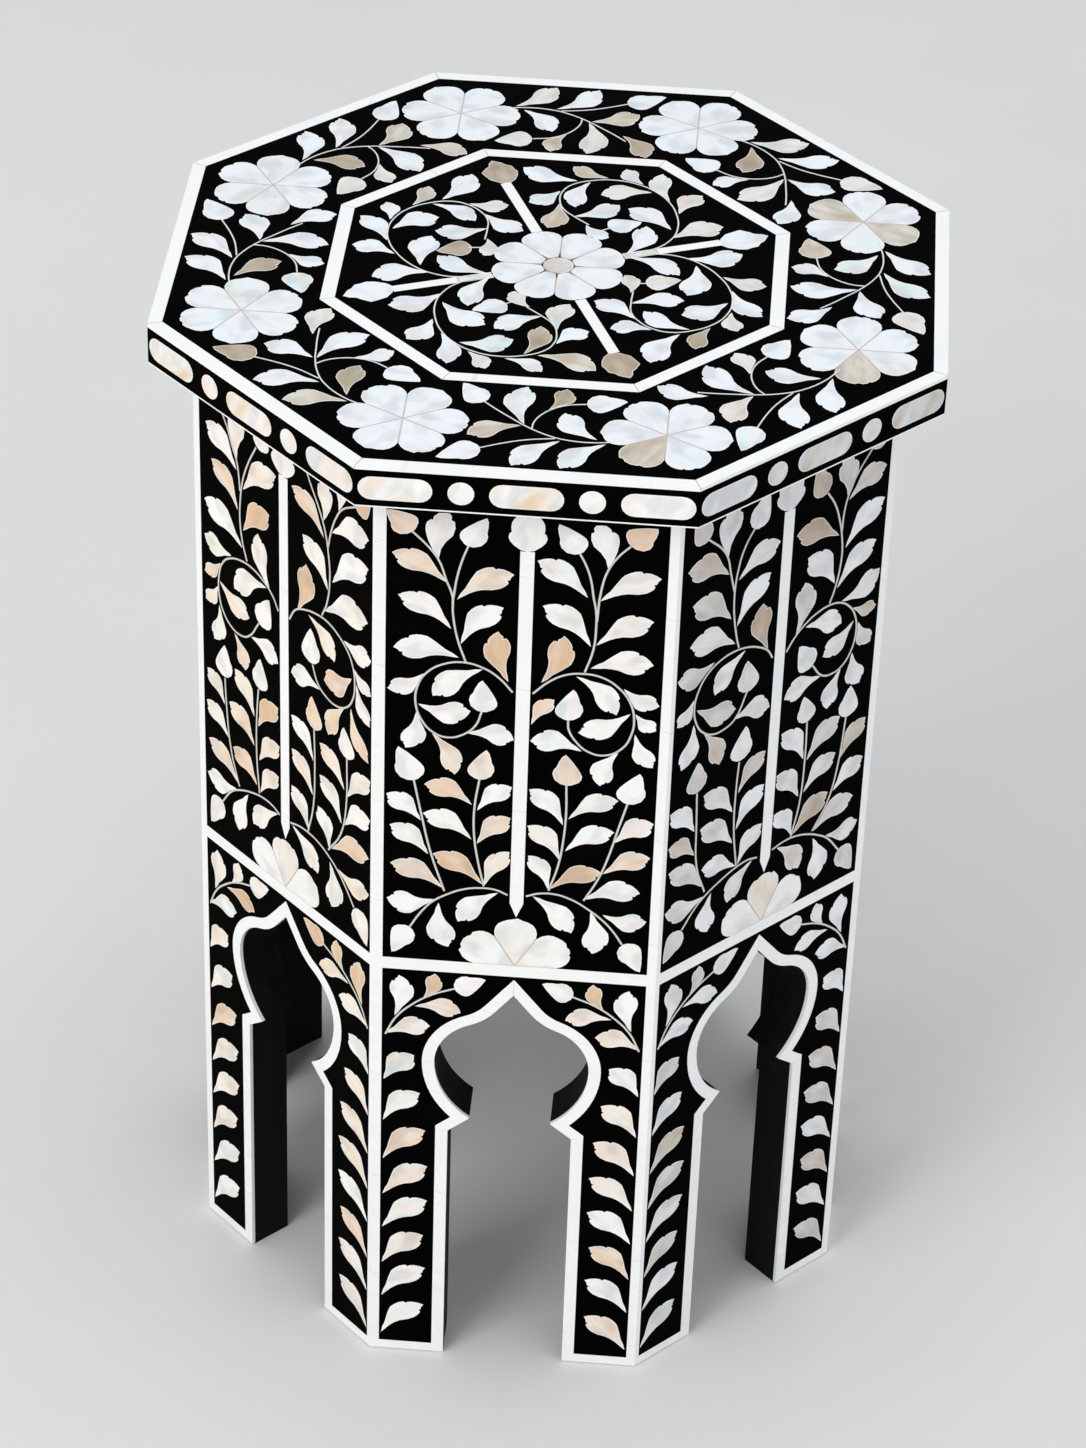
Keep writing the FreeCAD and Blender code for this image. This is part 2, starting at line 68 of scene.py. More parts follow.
# Stems: the share of their height that is kept, and the steps along and round them
STEM_FLATTEN = 0.55
STEM_STEPS = 4
STEM_ROUND_STEPS = 2

# Numbers kept on the points of a plate: tone, play of colour, outer edge, and joint with the next petal
POINT_MARKS = ("tone", "play", "edge", "joint")

# Fields of a panel, in millimetres from its middle
CENTRE_STRIP_HALF = 2.7
CORNER_STRIP = 3.7
BARE_EDGE = 1.6
FIELD_WITH_STRIP = CORNER_HALF / MM - CORNER_STRIP
FIELD_WITHOUT_STRIP = CORNER_HALF / MM - BARE_EDGE

# Tones of shell, from white to tan
WHITE = 0.05
IVORY = 0.22
CREAM = 0.4
PEACH = 0.62
TAN = 0.9
TONE_LETTERS = {"w": WHITE, "i": IVORY, "c": CREAM, "p": PEACH, "t": TAN}

# Tones drawn by lot: the shares of white and of white with cream, their ranges, and how far warmth moves them
WHITE_SHARE = 0.64
PALE_SHARE = 0.9
WHITE_RANGE = (0, 0.28)
CREAM_RANGE = (0.3, 0.65)
TAN_RANGE = (0.75, 1)
WARM_SHIFT = 0.3
PALE_SHIFT = 0.1

# How far the leaves bow, as a share of their length, and how the pieces differ from their readings
LEAF_BOW = 0.095
BOW_SPREAD = (0.75, 1.25)
WIDTH_SPREAD = (1, 1.08)
TONE_SPREAD = 0.06

# Outlines as shares of length and of width, from the stem end to the tip and back
LEAF = [
    (0, 0), (0.1, 0.075), (0.218, 0.125), (0.36, 0.29), (0.46, 0.41), (0.52, 0.477), (0.612, 0.5),
    (0.697, 0.5), (0.76, 0.465), (0.787, 0.44), (0.796, 0.335), (0.84, 0.35), (0.898, 0.29),
    (0.958, 0.16), (1, 0), (0.935, -0.1), (0.893, -0.21), (0.85, -0.215), (0.85, -0.325),
    (0.822, -0.385), (0.75, -0.46), (0.678, -0.49), (0.57, -0.449), (0.434, -0.284), (0.33, -0.2),
    (0.224, -0.135), (0.1, -0.075),
]
BUD = [
    (0, 0), (0.01, 0.16), (0.1, 0.41), (0.2, 0.51), (0.3, 0.53), (0.42, 0.48), (0.565, 0.385),
    (0.8, 0.2), (1, 0), (0.915, -0.13), (0.76, -0.24), (0.6, -0.32), (0.51, -0.42), (0.37, -0.47),
    (0.18, -0.4), (0.048, -0.2),
]
TREFOIL = [
    (0, 0), (0.146, 0.186), (0.379, 0.418), (0.52, 0.51), (0.618, 0.55), (0.7, 0.55), (0.766, 0.52),
    (0.83, 0.395), (0.815, 0.336), (0.9, 0.305), (0.978, 0.163), (1, -0.065), (1, -0.2), (0.94, -0.29),
    (0.86, -0.285), (0.833, -0.405), (0.7, -0.45), (0.54, -0.395), (0.393, -0.18), (0.227, -0.04),
]
SCALLOP_HALF = [
    (0.03, 0.178), (0.13, 0.356), (0.22, 0.459), (0.31, 0.5), (0.39, 0.473), (0.43, 0.418),
    (0.52, 0.435), (0.63, 0.418), (0.72, 0.356), (0.76, 0.308), (0.82, 0.301), (0.92, 0.199),
    (0.98, 0.082),
]
SCALLOP = [(0, 0)] + SCALLOP_HALF + [(1, 0)] + [(reach, -width) for reach, width in SCALLOP_HALF[::-1]]
SPOKE_BUD = [
    (0, 0), (0.015, 0.17), (0.1, 0.32), (0.265, 0.455), (0.43, 0.52), (0.558, 0.47), (0.68, 0.45),
    (0.77, 0.3), (0.86, 0.24), (1, 0), (0.9, -0.115), (0.77, -0.175), (0.695, -0.3), (0.545, -0.47),
    (0.41, -0.43), (0.21, -0.355), (0.065, -0.16),
]

# Petals as shares of their length, from the middle of the flower; neighbours meet up to the joint
SIX_PETAL_SIDE = [(0.53, 0.306), (0.6, 0.338), (0.7, 0.35), (0.8, 0.33), (0.875, 0.28)]
SIX_PETAL_TIPS = [
    [(0.925, -0.21), (0.97, -0.13), (0.995, -0.05), (0.965, 0.03), (0.985, 0.08), (0.955, 0.16),
     (0.915, 0.185), (0.92, 0.225)],
    [(0.925, -0.2), (0.95, -0.12), (0.995, -0.03), (0.97, 0.06), (0.95, 0.14), (0.915, 0.215)],
    [(0.935, -0.235), (0.925, -0.17), (0.97, -0.12), (0.99, 0), (0.96, 0.1), (0.925, 0.13),
     (0.935, 0.21)],
]
SIX_PETALS = [
    [(0, 0)] + [(reach, -width) for reach, width in SIX_PETAL_SIDE] + tip + SIX_PETAL_SIDE[::-1]
    for tip in SIX_PETAL_TIPS
]
SIX_JOINT = 0.55
EIGHT_PETAL = [
    (0.225, 0), (0.235, -0.082), (0.36, -0.1475), (0.716, -0.2966), (0.78, -0.303), (0.85, -0.283),
    (0.915, -0.23), (0.96, -0.155), (0.985, -0.075), (0.995, -0.01), (0.98, 0.03), (0.99, 0.07),
    (0.965, 0.15), (0.915, 0.23), (0.85, 0.283), (0.78, 0.303), (0.716, 0.2966), (0.36, 0.1475),
    (0.235, 0.082),
]
EIGHT_JOINT = 0.73

# Heights between which the panel readings are fitted: the rail, and the line where the rim hides the panel
RAIL_HEIGHT = RAIL_TOP / MM
RIM_LINE = 423

# Where a panel's edges and middle strip lie in its readings, at the rail and at the rim, half the width of
# that strip, and the height of the rail at both edges
FRONT_READING = {
    "edges": ((-50.9, -50.9), (1.65, 1.65), (51.9, 51.9)), "strip_half": 2.8,
    "rail": (RAIL_HEIGHT, RAIL_HEIGHT),
}
LEFT_READING = {
    "edges": ((-47.9, -51.8), (1.1, 0.2), (52, 50.5)), "strip_half": 3.1, "rail": (223, 214.5),
}
RIGHT_READING = {
    "edges": ((-53.7, -53.1), (-2.5, -1.3), (50.6, 50.4)), "strip_half": 3.2, "rail": (210.6, 210.3),
}

# Front panel above the rail, in millimetres across and up: stems are points along them, and leaves, buds
# and trefoils are their stem end, their tip, their width and their tone
FRONT_STEMS = [
    [(-20.5, 361.5), (-23.8, 372), (-25.7, 384), (-25.9, 391), (-28.4, 398.5), (-31.2, 407),
     (-35.7, 413.5), (-41.2, 419.2)],
    [(-25.9, 388), (-25.3, 393), (-24.5, 399.2), (-22.6, 407.7), (-20.5, 414.2)],
    [(-2.5, 348.8), (-7.7, 355), (-13.8, 359.2), (-21.5, 361.2), (-29.2, 359.6), (-35.4, 355),
     (-38.6, 348.5), (-39.2, 340.8), (-36.9, 333.1), (-32.7, 327.7), (-26.9, 325.4), (-20.8, 327.3),
     (-16.2, 331.9), (-14, 338.5)],
    [(-26.9, 250.4), (-32.7, 270), (-36.2, 286.9), (-39.4, 303.8)],
    [(-11.5, 254.2), (-14.1, 266.9), (-15.8, 280), (-15.8, 293), (-14.2, 306.2)],
    [(-2.1, 250.5), (-6.9, 252.7), (-12.3, 253.1), (-19.2, 251.9), (-26.2, 248.5), (-31.5, 244.6),
     (-36.2, 238.5), (-40.2, 231.2)],
    [(23.8, 360.4), (26.5, 370.8), (27.2, 381.5), (26.9, 389), (25.9, 394.6), (24.6, 403), (22.4, 410),
     (20.4, 414.2)],
    [(27.4, 384), (28.4, 398), (30.6, 407.6), (34.4, 414.5), (38.2, 418.9)],
    [(5.4, 348.8), (10.8, 354.6), (16.9, 358.5), (23.1, 359.6), (30, 358.5), (36.2, 354.2),
     (40.4, 348.1), (42.3, 340), (41.5, 332.3), (38.5, 325.8), (32.3, 321.9), (26.2, 323.1),
     (21.5, 327.7), (18.8, 333.1), (18.5, 337.3)],
    [(26.9, 250.4), (31.9, 261.5), (35.4, 273.1), (38.5, 286.9), (41.4, 299.2)],
    [(13.7, 254.2), (16.9, 266.9), (18.5, 280), (19.1, 293.1), (18.8, 306.2)],
    [(5.4, 250.5), (10, 252.3), (16.2, 252.5), (22.3, 250.4), (28.5, 246.2), (33.8, 241.5),
     (38.1, 236.2), (41.9, 229.6)],
]
FRONT_LEAVES = [
    (-28.1, 397.3, -48.8, 409.4, 9.6, PEACH),
    (-24.2, 390, -3.1, 402.7, 10, PEACH),
    (-26.2, 376.2, -46.4, 390.4, 10, WHITE),
    (-22.5, 369.6, -6.7, 387.5, 10, WHITE),
    (-23.1, 363.2, -47.9, 366.2, 11, WHITE),
    (-4.2, 353.5, -8.5, 376.5, 10.4, TAN),
    (-36.2, 354.8, -50, 346.9, 7.8, IVORY),
    (-14, 358.5, -32.7, 344.6, 10, WHITE),
    (-38.2, 340.4, -18.2, 338.6, 10, WHITE),
    (-38.8, 336.9, -42.9, 319.2, 8.8, WHITE),
    (-19.2, 328.1, -1.5, 326.2, 9.6, WHITE),
    (-32.7, 326.9, -23.8, 307.9, 8.5, PEACH),
    (-36.5, 284.6, -50, 296.5, 9, WHITE),
    (-33.5, 268.1, -48.6, 281.5, 9, IVORY),
    (-27.7, 251.9, -48.2, 262.7, 10, PEACH),
    (-16.9, 293.8, -35.4, 302.3, 9.2, PEACH),
    (-16.8, 276.9, -35.8, 288.1, 10, WHITE),
    (-12.2, 255, -31.7, 268.5, 9.6, TAN),
    (-14.8, 291.2, -1.5, 303.5, 9, WHITE),
    (-14.6, 275, -1.8, 288.5, 9, PEACH),
    (-11.4, 254.2, -1.8, 271.9, 8.6, CREAM),
    (-30.4, 245.8, -49.4, 245.2, 10.8, WHITE),
    (-29, 244.2, -24.8, 222.3, 10.5, WHITE),
    (-5.8, 251.2, -21.3, 235.4, 10, WHITE),
    (23.8, 394.6, 5.5, 409.8, 10, IVORY),
    (28.3, 393.5, 49.6, 405.2, 10.4, IVORY),
    (25.6, 372.3, 7.9, 389.6, 10.4, WHITE),
    (27.5, 373.1, 47.7, 385.5, 10, IVORY),
    (25.8, 362.3, 48.3, 365.5, 11, WHITE),
    (8.3, 354.2, 16, 376.5, 10.5, TAN),
    (38.1, 353.8, 51.2, 346.9, 8, IVORY),
    (20.8, 358.1, 35.8, 341.3, 9.5, WHITE),
    (40.9, 342.3, 22.3, 331.9, 10, WHITE),
    (42.7, 342.3, 50.5, 335.2, 6.5, WHITE),
    (42.9, 332.7, 50, 317.5, 8, WHITE),
    (23.8, 323.1, 5, 326.3, 9.8, WHITE),
    (5.2, 334.2, 13.3, 346.5, 7, PEACH),
    (37.1, 323.5, 31, 307.1, 9, WHITE),
    (37.3, 280, 51.4, 290.4, 9.5, IVORY),
    (33.5, 264.2, 50.8, 273.5, 9.6, PEACH),
    (26.9, 250.8, 47.7, 255.8, 10, WHITE),
    (18.1, 286.9, 5.2, 303.1, 9, WHITE),
    (17.3, 269.6, 5, 285.4, 9, IVORY),
    (13.5, 254.6, 5.6, 270.8, 8, WHITE),
    (34.2, 243.8, 50.6, 241.9, 9.2, IVORY),
    (29.6, 245, 30.8, 223.8, 10, WHITE),
    (7.7, 250.8, 22.7, 233.5, 10.5, WHITE),
    (20, 290, 38.1, 300.4, 9.2, IVORY),
    (19.2, 274.2, 37.1, 285, 9.6, WHITE),
    (14.2, 255, 33.2, 264.5, 9, TAN),
]
FRONT_BUDS = [
    (-41.2, 419.2, -50.6, 428.5, 10, PEACH),
    (-20.5, 414.2, -13.7, 427.3, 10, WHITE),
    (-13.8, 338.5, -14, 353.3, 10.6, WHITE),
    (-39.4, 303.8, -45.6, 319.6, 11, WHITE),
    (-14.2, 306.2, -11.8, 320.6, 10, CREAM),
    (-40.5, 231.2, -47.3, 217.8, 9.6, WHITE),
    (38.2, 419.1, 47.5, 427.5, 10.6, PEACH),
    (20.5, 414.2, 12.8, 426.8, 9.6, WHITE),
    (18.5, 337.3, 20, 351.9, 10, WHITE),
    (41.5, 299.2, 45.5, 314.2, 10.8, WHITE),
    (18.8, 306.2, 18.2, 320.9, 10.6, PEACH),
    (42.4, 229.6, 49.2, 216.2, 10, WHITE),
]
FRONT_TREFOILS = [(-31.4, 407.5, -29.8, 428.5, 10.6, IVORY), (30.6, 408, 27.6, 427.5, 9.8, WHITE)]

# Left panel above the rail
LEFT_PANEL_STEMS = [
    [(-22.3, 364), (-24.8, 370.8), (-26.5, 380.8), (-26.2, 390), (-25.1, 397.7), (-22.2, 406.9),
     (-16.4, 418.5)],
    [(-26.4, 394), (-26.9, 399), (-28.3, 406.2), (-31, 411.5), (-34.1, 418.5), (-40, 427)],
    [(-3.3, 350.8), (-6.8, 356.2), (-12.9, 360.4), (-19.8, 362.5), (-26, 362.3), (-32.2, 360.2),
     (-37.2, 355.8), (-39.8, 347), (-39.1, 337.7), (-36.8, 332.7), (-32.2, 328.5), (-26.8, 327.3),
     (-21.8, 329.2), (-15.2, 338.8)],
    [(-27.5, 253.7), (-32.5, 268.7), (-35.4, 290.2), (-36.2, 301.8)],
    [(-15.2, 257.2), (-16.8, 274.8), (-16.6, 295.6), (-15.6, 307.5)],
    [(-2.9, 253.2), (-6.8, 255.2), (-12.9, 256), (-19.8, 254.8), (-26.8, 252.2), (-32.2, 248.7),
     (-38.2, 240.2)],
    [(22.8, 363.1), (25.5, 370), (27.1, 383.8), (26.3, 392.3), (24.8, 400.8), (21.7, 409.2),
     (14.6, 422.3), (13.2, 426)],
    [(26, 396), (27.8, 404.6), (30.2, 411.5), (33.6, 417.3), (41.5, 423)],
    [(4.4, 350.8), (7.8, 356.9), (13.2, 360), (19.8, 361.7), (25.5, 361.7), (30.9, 359.6),
     (35.9, 355.8), (39.4, 350.8), (41.3, 341), (39.8, 332.3), (36.3, 327.3), (30.9, 325), (25.5, 326),
     (20.9, 329.2), (17.5, 336.9)],
    [(27.1, 252.5), (34, 264.1), (37.1, 279.5), (37.3, 303.3)],
    [(15.2, 254.8), (18.2, 268.7), (19, 290.2), (18.5, 306.4)],
    [(4.8, 252.9), (9.4, 254.1), (15.5, 254.1), (21.7, 252.5), (27.1, 249.5), (32.5, 245.2),
     (37.8, 238.7), (42.1, 232.2)],
]
LEFT_PANEL_LEAVES = [
    (-28.5, 402.2, -47.5, 414.6, 12, WHITE),
    (-27.9, 384.5, -44.1, 399.6, 10, PEACH),
    (-25.2, 368.5, -48.5, 379.6, 12.6, WHITE),
    (-32, 361.5, -48.5, 363.5, 9.6, IVORY),
    (-38.7, 354.6, -48.5, 346.5, 6.5, PEACH),
    (-40.4, 343.1, -47.9, 333.8, 7, CREAM),
    (-39.6, 334.6, -42.8, 317.3, 8.4, WHITE),
    (-10.6, 357.7, -30.2, 347.3, 11.6, WHITE),
    (-39.2, 346.2, -21, 338.1, 10, CREAM),
    (-8.3, 356.9, -15.6, 380, 10, IVORY),
    (-24.5, 395.4, -4.5, 411.5, 11.6, CREAM),
    (-24.5, 376.9, -8.7, 391.9, 11.2, TAN),
    (-19.8, 330, -3.7, 325.8, 10.4, WHITE),
    (-30.2, 326.5, -23.7, 312.2, 8.6, PEACH),
    (-36.4, 289.1, -47.2, 301.2, 8.6, CREAM),
    (-34.1, 274.1, -47.7, 285.5, 9.5, IVORY),
    (-28.3, 254.8, -46.4, 267.5, 10.4, PEACH),
    (-18.3, 292.9, -30.2, 309.5, 9.6, CREAM),
    (-18.3, 278.7, -33.7, 291.8, 10.3, PEACH),
    (-16.8, 260.2, -31.4, 271, 10.6, PEACH),
    (-15.8, 289.5, -3.7, 304.5, 10.6, TAN),
    (-15.2, 273.3, -2.9, 286.4, 9.3, CREAM),
    (-14.5, 257.9, -3.5, 271.4, 8.8, CREAM),
    (-29.5, 251.4, -47.2, 250.6, 10.2, WHITE),
    (-22.2, 252.5, -27.7, 231.6, 9.3, WHITE),
    (-4.1, 252.9, -18.9, 239.8, 10, IVORY),
    (23.6, 398.8, 5.7, 412.3, 10, PEACH),
    (28.2, 403.8, 48, 411.5, 11.6, WHITE),
    (25.9, 376.2, 11.7, 393.8, 10.5, IVORY),
    (28.5, 381.2, 48, 398.5, 12.4, WHITE),
    (24.4, 365.8, 48, 373.5, 12.8, IVORY),
    (9, 357.7, 13.6, 381.2, 10.4, TAN),
    (34.8, 358.1, 50, 357.3, 10, WHITE),
    (40.2, 348.5, 50.3, 340.8, 6.8, IVORY),
    (42.1, 341.5, 49.8, 325.8, 7.4, IVORY),
    (15.2, 358.8, 29.8, 345, 9.2, CREAM),
    (39.4, 342.7, 24, 333.5, 10.8, PEACH),
    (21.7, 327.3, 5.3, 326.2, 10, WHITE),
    (39.2, 328.5, 49.4, 308.1, 7.8, PEACH),
    (35.5, 326.5, 26.7, 308.7, 8.5, PEACH),
    (18.1, 291, 5.2, 306, 9.3, WHITE),
    (17.8, 274.1, 5.5, 289.8, 9, CREAM),
    (15.5, 255.6, 5.3, 271.8, 9, CREAM),
    (35.9, 287.2, 21.7, 301.9, 9.6, CREAM),
    (34.4, 269.8, 21.7, 286.4, 9.8, IVORY),
    (27.5, 253.3, 20.8, 270.6, 9, WHITE),
    (37.7, 284.8, 50.6, 299.8, 9.3, CREAM),
    (36.3, 270.2, 50.7, 280.6, 10.3, WHITE),
    (29, 254.1, 50.2, 261.4, 10.6, PEACH),
    (32.5, 246, 50.5, 243.7, 9.8, CREAM),
    (27.8, 246.8, 29, 225, 10.4, IVORY),
    (5.9, 252.3, 20.9, 236.8, 10, IVORY),
]
LEFT_PANEL_BUDS = [
    (-40, 427, -47, 436.5, 10, CREAM),
    (-14.8, 418.3, -11.8, 431, 10, IVORY),
    (-14.8, 338.8, -8.9, 352.7, 10.4, WHITE),
    (-36.4, 302.3, -36.6, 317.2, 10.2, WHITE),
    (-15.2, 307.8, -14.5, 322.3, 9.8, WHITE),
    (-38.4, 240.6, -45.2, 226.8, 9.6, IVORY),
    (41.5, 421.4, 49, 430, 9, TAN),
    (13.2, 425.5, 8, 437, 10, WHITE),
    (17.1, 337.1, 16.2, 353.1, 10.8, WHITE),
    (37.3, 303.2, 35.3, 317.2, 9.4, IVORY),
    (18.6, 306.5, 17.1, 321.5, 9.6, PEACH),
    (43, 232.4, 49.8, 217, 10.8, IVORY),
]
LEFT_PANEL_TREFOILS = [
    (-28.3, 406.9, -28, 428.5, 9.8, CREAM), (23.4, 406.5, 23.8, 424.5, 8.6, CREAM),
    (31.6, 415.6, 32.5, 433, 8.5, IVORY),
]

# Right panel above the rail
RIGHT_PANEL_STEMS = [
    [(-23.3, 358.5), (-24.8, 364.6), (-27, 382.3), (-25.6, 397.7), (-22.9, 406.2), (-19, 412.4)],
    [(-27.2, 387), (-29.5, 396.9), (-31, 403.8), (-33.7, 409.2), (-41, 417.3)],
    [(-6.2, 345.4), (-8.7, 350), (-12.9, 353.5), (-19.1, 356.5), (-25.6, 357.5), (-32.2, 356.3),
     (-37.5, 353.1), (-41.4, 347.7), (-43.5, 338.5), (-41.4, 329.2), (-38.3, 324.6), (-33.7, 321.5),
     (-28.3, 321.2), (-23.3, 323.5), (-17.9, 334.2)],
    [(-33.3, 242.2), (-37.9, 257.2), (-39.2, 279.5), (-39.8, 295.6)],
    [(-17.9, 247.2), (-20.2, 267.2), (-20.2, 288.7), (-19.5, 300.6)],
    [(-7.5, 245.8), (-12.2, 247), (-18.3, 246.2), (-25.2, 243.7), (-32.2, 240.2), (-37.5, 236),
     (-43.7, 227.9)],
    [(23.6, 358.5), (25.9, 364.6), (28.2, 379.2), (27.5, 388.5), (25.5, 397.7), (22.5, 406.2),
     (18.2, 413.2)],
    [(27.2, 391), (27.8, 400.8), (29.4, 407.7), (32.5, 414.6), (40, 424.5)],
    [(2.1, 344.6), (6.3, 350), (11.7, 354.2), (17.8, 356.8), (24, 357.5), (29.4, 356.2), (34.4, 352.3),
     (37.8, 346.9), (39.4, 338), (37.1, 328.5), (33.2, 323.8), (27.8, 322.2), (22.5, 323.8),
     (16.9, 331.2)],
    [(23.6, 244.5), (30.9, 255.6), (35.2, 271.8), (37.7, 296)],
    [(11.7, 247.5), (15.2, 262.5), (16.5, 286.4), (16.2, 303.7)],
    [(1.7, 245.6), (7.8, 246.8), (14, 246.4), (20.9, 244.1), (27.1, 240.6), (32.5, 236.4),
     (39.8, 226.4)],
]
RIGHT_PANEL_LEAVES = [
    (-30.2, 396.2, -50, 405.8, 11.6, PEACH),
    (-25.2, 391.2, -5.8, 400.5, 11, IVORY),
    (-27.9, 374.2, -46.9, 388.8, 11.8, CREAM),
    (-24.8, 369.2, -9.5, 387.7, 10.8, WHITE),
    (-25.2, 361.2, -47.2, 369.6, 12.4, IVORY),
    (-8.7, 350.8, -12.2, 374.2, 10.6, TAN),
    (-34.8, 356.9, -52.2, 355.8, 10, CREAM),
    (-19.8, 355.4, -33.7, 340.4, 9.6, WHITE),
    (-42.2, 337.3, -22.9, 328.8, 10.8, CREAM),
    (-43.7, 343.1, -51.4, 333.5, 7.4, WHITE),
    (-43.3, 330.8, -48.5, 311, 9, WHITE),
    (-23.3, 323.5, -6, 321.2, 10, IVORY),
    (-37.9, 323.5, -29.7, 304.5, 9.2, PEACH),
    (-40.1, 276.4, -52.5, 291, 9.6, WHITE),
    (-39.5, 264.1, -52.5, 273.7, 9, PEACH),
    (-34.5, 245.2, -51.8, 261, 10, CREAM),
    (-21.4, 276.4, -36.4, 292.2, 10.6, IVORY),
    (-20.6, 260.2, -37.2, 275.6, 11.2, IVORY),
    (-18.3, 247.2, -35.4, 254.2, 10, WHITE),
    (-19.1, 284.8, -6.4, 299.5, 9.6, PEACH),
    (-19.2, 266.4, -6, 282.5, 10.8, WHITE),
    (-17.2, 247.5, -6, 262.5, 9.4, WHITE),
    (-33.7, 239.8, -52.5, 241, 11, IVORY),
    (-29.8, 239.5, -30.6, 219.8, 10.2, WHITE),
    (-9.8, 245.6, -21.4, 229.8, 10, IVORY),
    (25.9, 390, 3.6, 399.2, 11.8, TAN),
    (29.8, 405, 48.5, 413.5, 11, CREAM),
    (25.5, 367.3, 10.3, 385.8, 11.8, WHITE),
    (29.8, 382.3, 49, 398.1, 11.6, WHITE),
    (27.1, 364.2, 46.3, 379.2, 11.2, WHITE),
    (6.7, 350.8, 9.8, 374.5, 11.2, CREAM),
    (30.2, 356.5, 49.4, 364.2, 10.8, IVORY),
    (36.7, 350.4, 49.2, 346.5, 6.4, PEACH),
    (40.2, 341.9, 47.8, 329.2, 7.4, CREAM),
    (11.7, 352.2, 30.9, 345.6, 10, WHITE),
    (37.5, 343.8, 22.1, 333.1, 10.2, IVORY),
    (21.7, 323.8, 2.8, 320.8, 10.6, WHITE),
    (38.2, 327.7, 43.6, 310.6, 9.4, IVORY),
    (32.5, 322.7, 26.7, 305.2, 9.2, WHITE),
    (15.5, 285.2, 2.6, 303.7, 9.8, WHITE),
    (14.2, 266.8, 1.5, 283.3, 10, CREAM),
    (11.7, 248.3, 1.3, 263.3, 9.4, WHITE),
    (17.5, 283.7, 34.4, 297.9, 10.8, CREAM),
    (17.1, 267.5, 33.6, 279.8, 10.8, IVORY),
    (12.5, 247.9, 30.9, 261, 11.2, PEACH),
    (36.3, 276, 49, 290.6, 9.8, PEACH),
    (33.6, 260.2, 49.2, 270.6, 11, WHITE),
    (24.4, 244.1, 45.5, 252.2, 10.8, CREAM),
    (31.7, 238.1, 49.2, 237.9, 9.6, CREAM),
    (24.4, 240.2, 26.9, 217.5, 10.6, WHITE),
    (4.4, 245.2, 17.1, 228.3, 9.8, CREAM),
]
RIGHT_PANEL_BUDS = [
    (-41.2, 416.8, -47.5, 430, 10, CREAM),
    (-18.8, 412, -12.6, 428, 11, WHITE),
    (-17.5, 334.2, -18.3, 349.6, 11.2, IVORY),
    (-39.8, 295.8, -40, 310.6, 10.6, CREAM),
    (-19.1, 301, -17.2, 317.2, 11.2, WHITE),
    (-44.1, 227.9, -52.2, 215.2, 10, CREAM),
    (40, 424.5, 48.5, 433, 10, CREAM),
    (17.4, 412.8, 12, 428, 10, PEACH),
    (16.7, 331.2, 9, 343.8, 11, WHITE),
    (37.8, 296, 39.2, 311, 10.2, WHITE),
    (15.9, 303.7, 13.8, 317.2, 9.8, IVORY),
    (39.8, 226.8, 48, 212.9, 10, CREAM),
]
RIGHT_PANEL_TREFOILS = [(-31, 404.6, -29.5, 427, 11, IVORY), (29, 406.2, 27.5, 426, 10, CREAM)]

# Layouts of the panels, and the layout of each side, from the front round by the right to the left
FRONT_LAYOUT = (FRONT_READING, FRONT_STEMS, FRONT_LEAVES, FRONT_BUDS, FRONT_TREFOILS)
LEFT_LAYOUT = (LEFT_READING, LEFT_PANEL_STEMS, LEFT_PANEL_LEAVES, LEFT_PANEL_BUDS, LEFT_PANEL_TREFOILS)
RIGHT_LAYOUT = (RIGHT_READING, RIGHT_PANEL_STEMS, RIGHT_PANEL_LEAVES, RIGHT_PANEL_BUDS, RIGHT_PANEL_TREFOILS)
SIDE_LAYOUTS = (
    FRONT_LAYOUT, RIGHT_LAYOUT, LEFT_LAYOUT, FRONT_LAYOUT,
    RIGHT_LAYOUT, LEFT_LAYOUT, FRONT_LAYOUT, LEFT_LAYOUT,
)

# How warm the drawn tones of each side are, in the same order
SIDE_WARMTHS = (-0.25, -0.1, 0.25, 0.3, 0.3, 0.3, 0.5, 0.2)

# Numbers of the front side, of the sides that are read, of those whose shell is greyer as painted shade and
# warmer as painted warm light, and of those that carry a corner strip on their right or left edge
FRONT_SIDE = 1
SEEN_SIDES = (8, 1, 2)
SHADE_PAINTED_SIDES = (2, 3, 4)
WARM_LIGHT_PAINTED_SIDES = (6, 7, 8)
STRIP_ON_RIGHT = (1, 2, 3, 4)
STRIP_ON_LEFT = (1, 8, 7, 6)

# Panel beside the arch, left half, and where its readings have the edge; the right half is the mirror image
READ_LEG_EDGE = 51.5
ARCH_STEMS = [[(-50, 175), (-46, 184), (-40, 191), (-32, 197), (-23, 201)]]
ARCH_LEAVES = [
    (-46.5, 185, -45, 206, 9.5, WHITE),
    (-35.5, 194.5, -31, 208, 7, TAN),
    (-38.5, 190.5, -20.5, 188.5, 8.5, CREAM),
    (-50, 175.5, -32.5, 180.5, 9.5, CREAM),
]
ARCH_BUDS = [(-23.2, 201, -11, 206.5, 9.5, WHITE)]
ARCH_VINE = (ARCH_STEMS, ARCH_LEAVES, ARCH_BUDS, [])

# Leg, left half: leaves from the top down, with the height of the stem end, and the tip across and up
LEG_BASE = -50.6
LEG_LINE = [[(LEG_BASE, 0), (LEG_BASE, 170)]]
LEG_LEAF_WIDTH = 10.5
LEG_LEAVES = [
    (151, -38.5, 164.5), (129, -36, 144.5), (108, -33.6, 124.5), (88.5, -32.6, 105), (70, -32.4, 86),
    (50, -33.8, 66.5), (31, -32.8, 48), (9.5, -33.2, 27),
]

# Tones of the leaves on a panel's two legs, from the top down
LEFT_LEG_TONES = "cipcicww"
RIGHT_LEG_TONES = "wcccwpic"

# Seed of the lots for the top, the flowers and the rim
TOP_SEED = 20

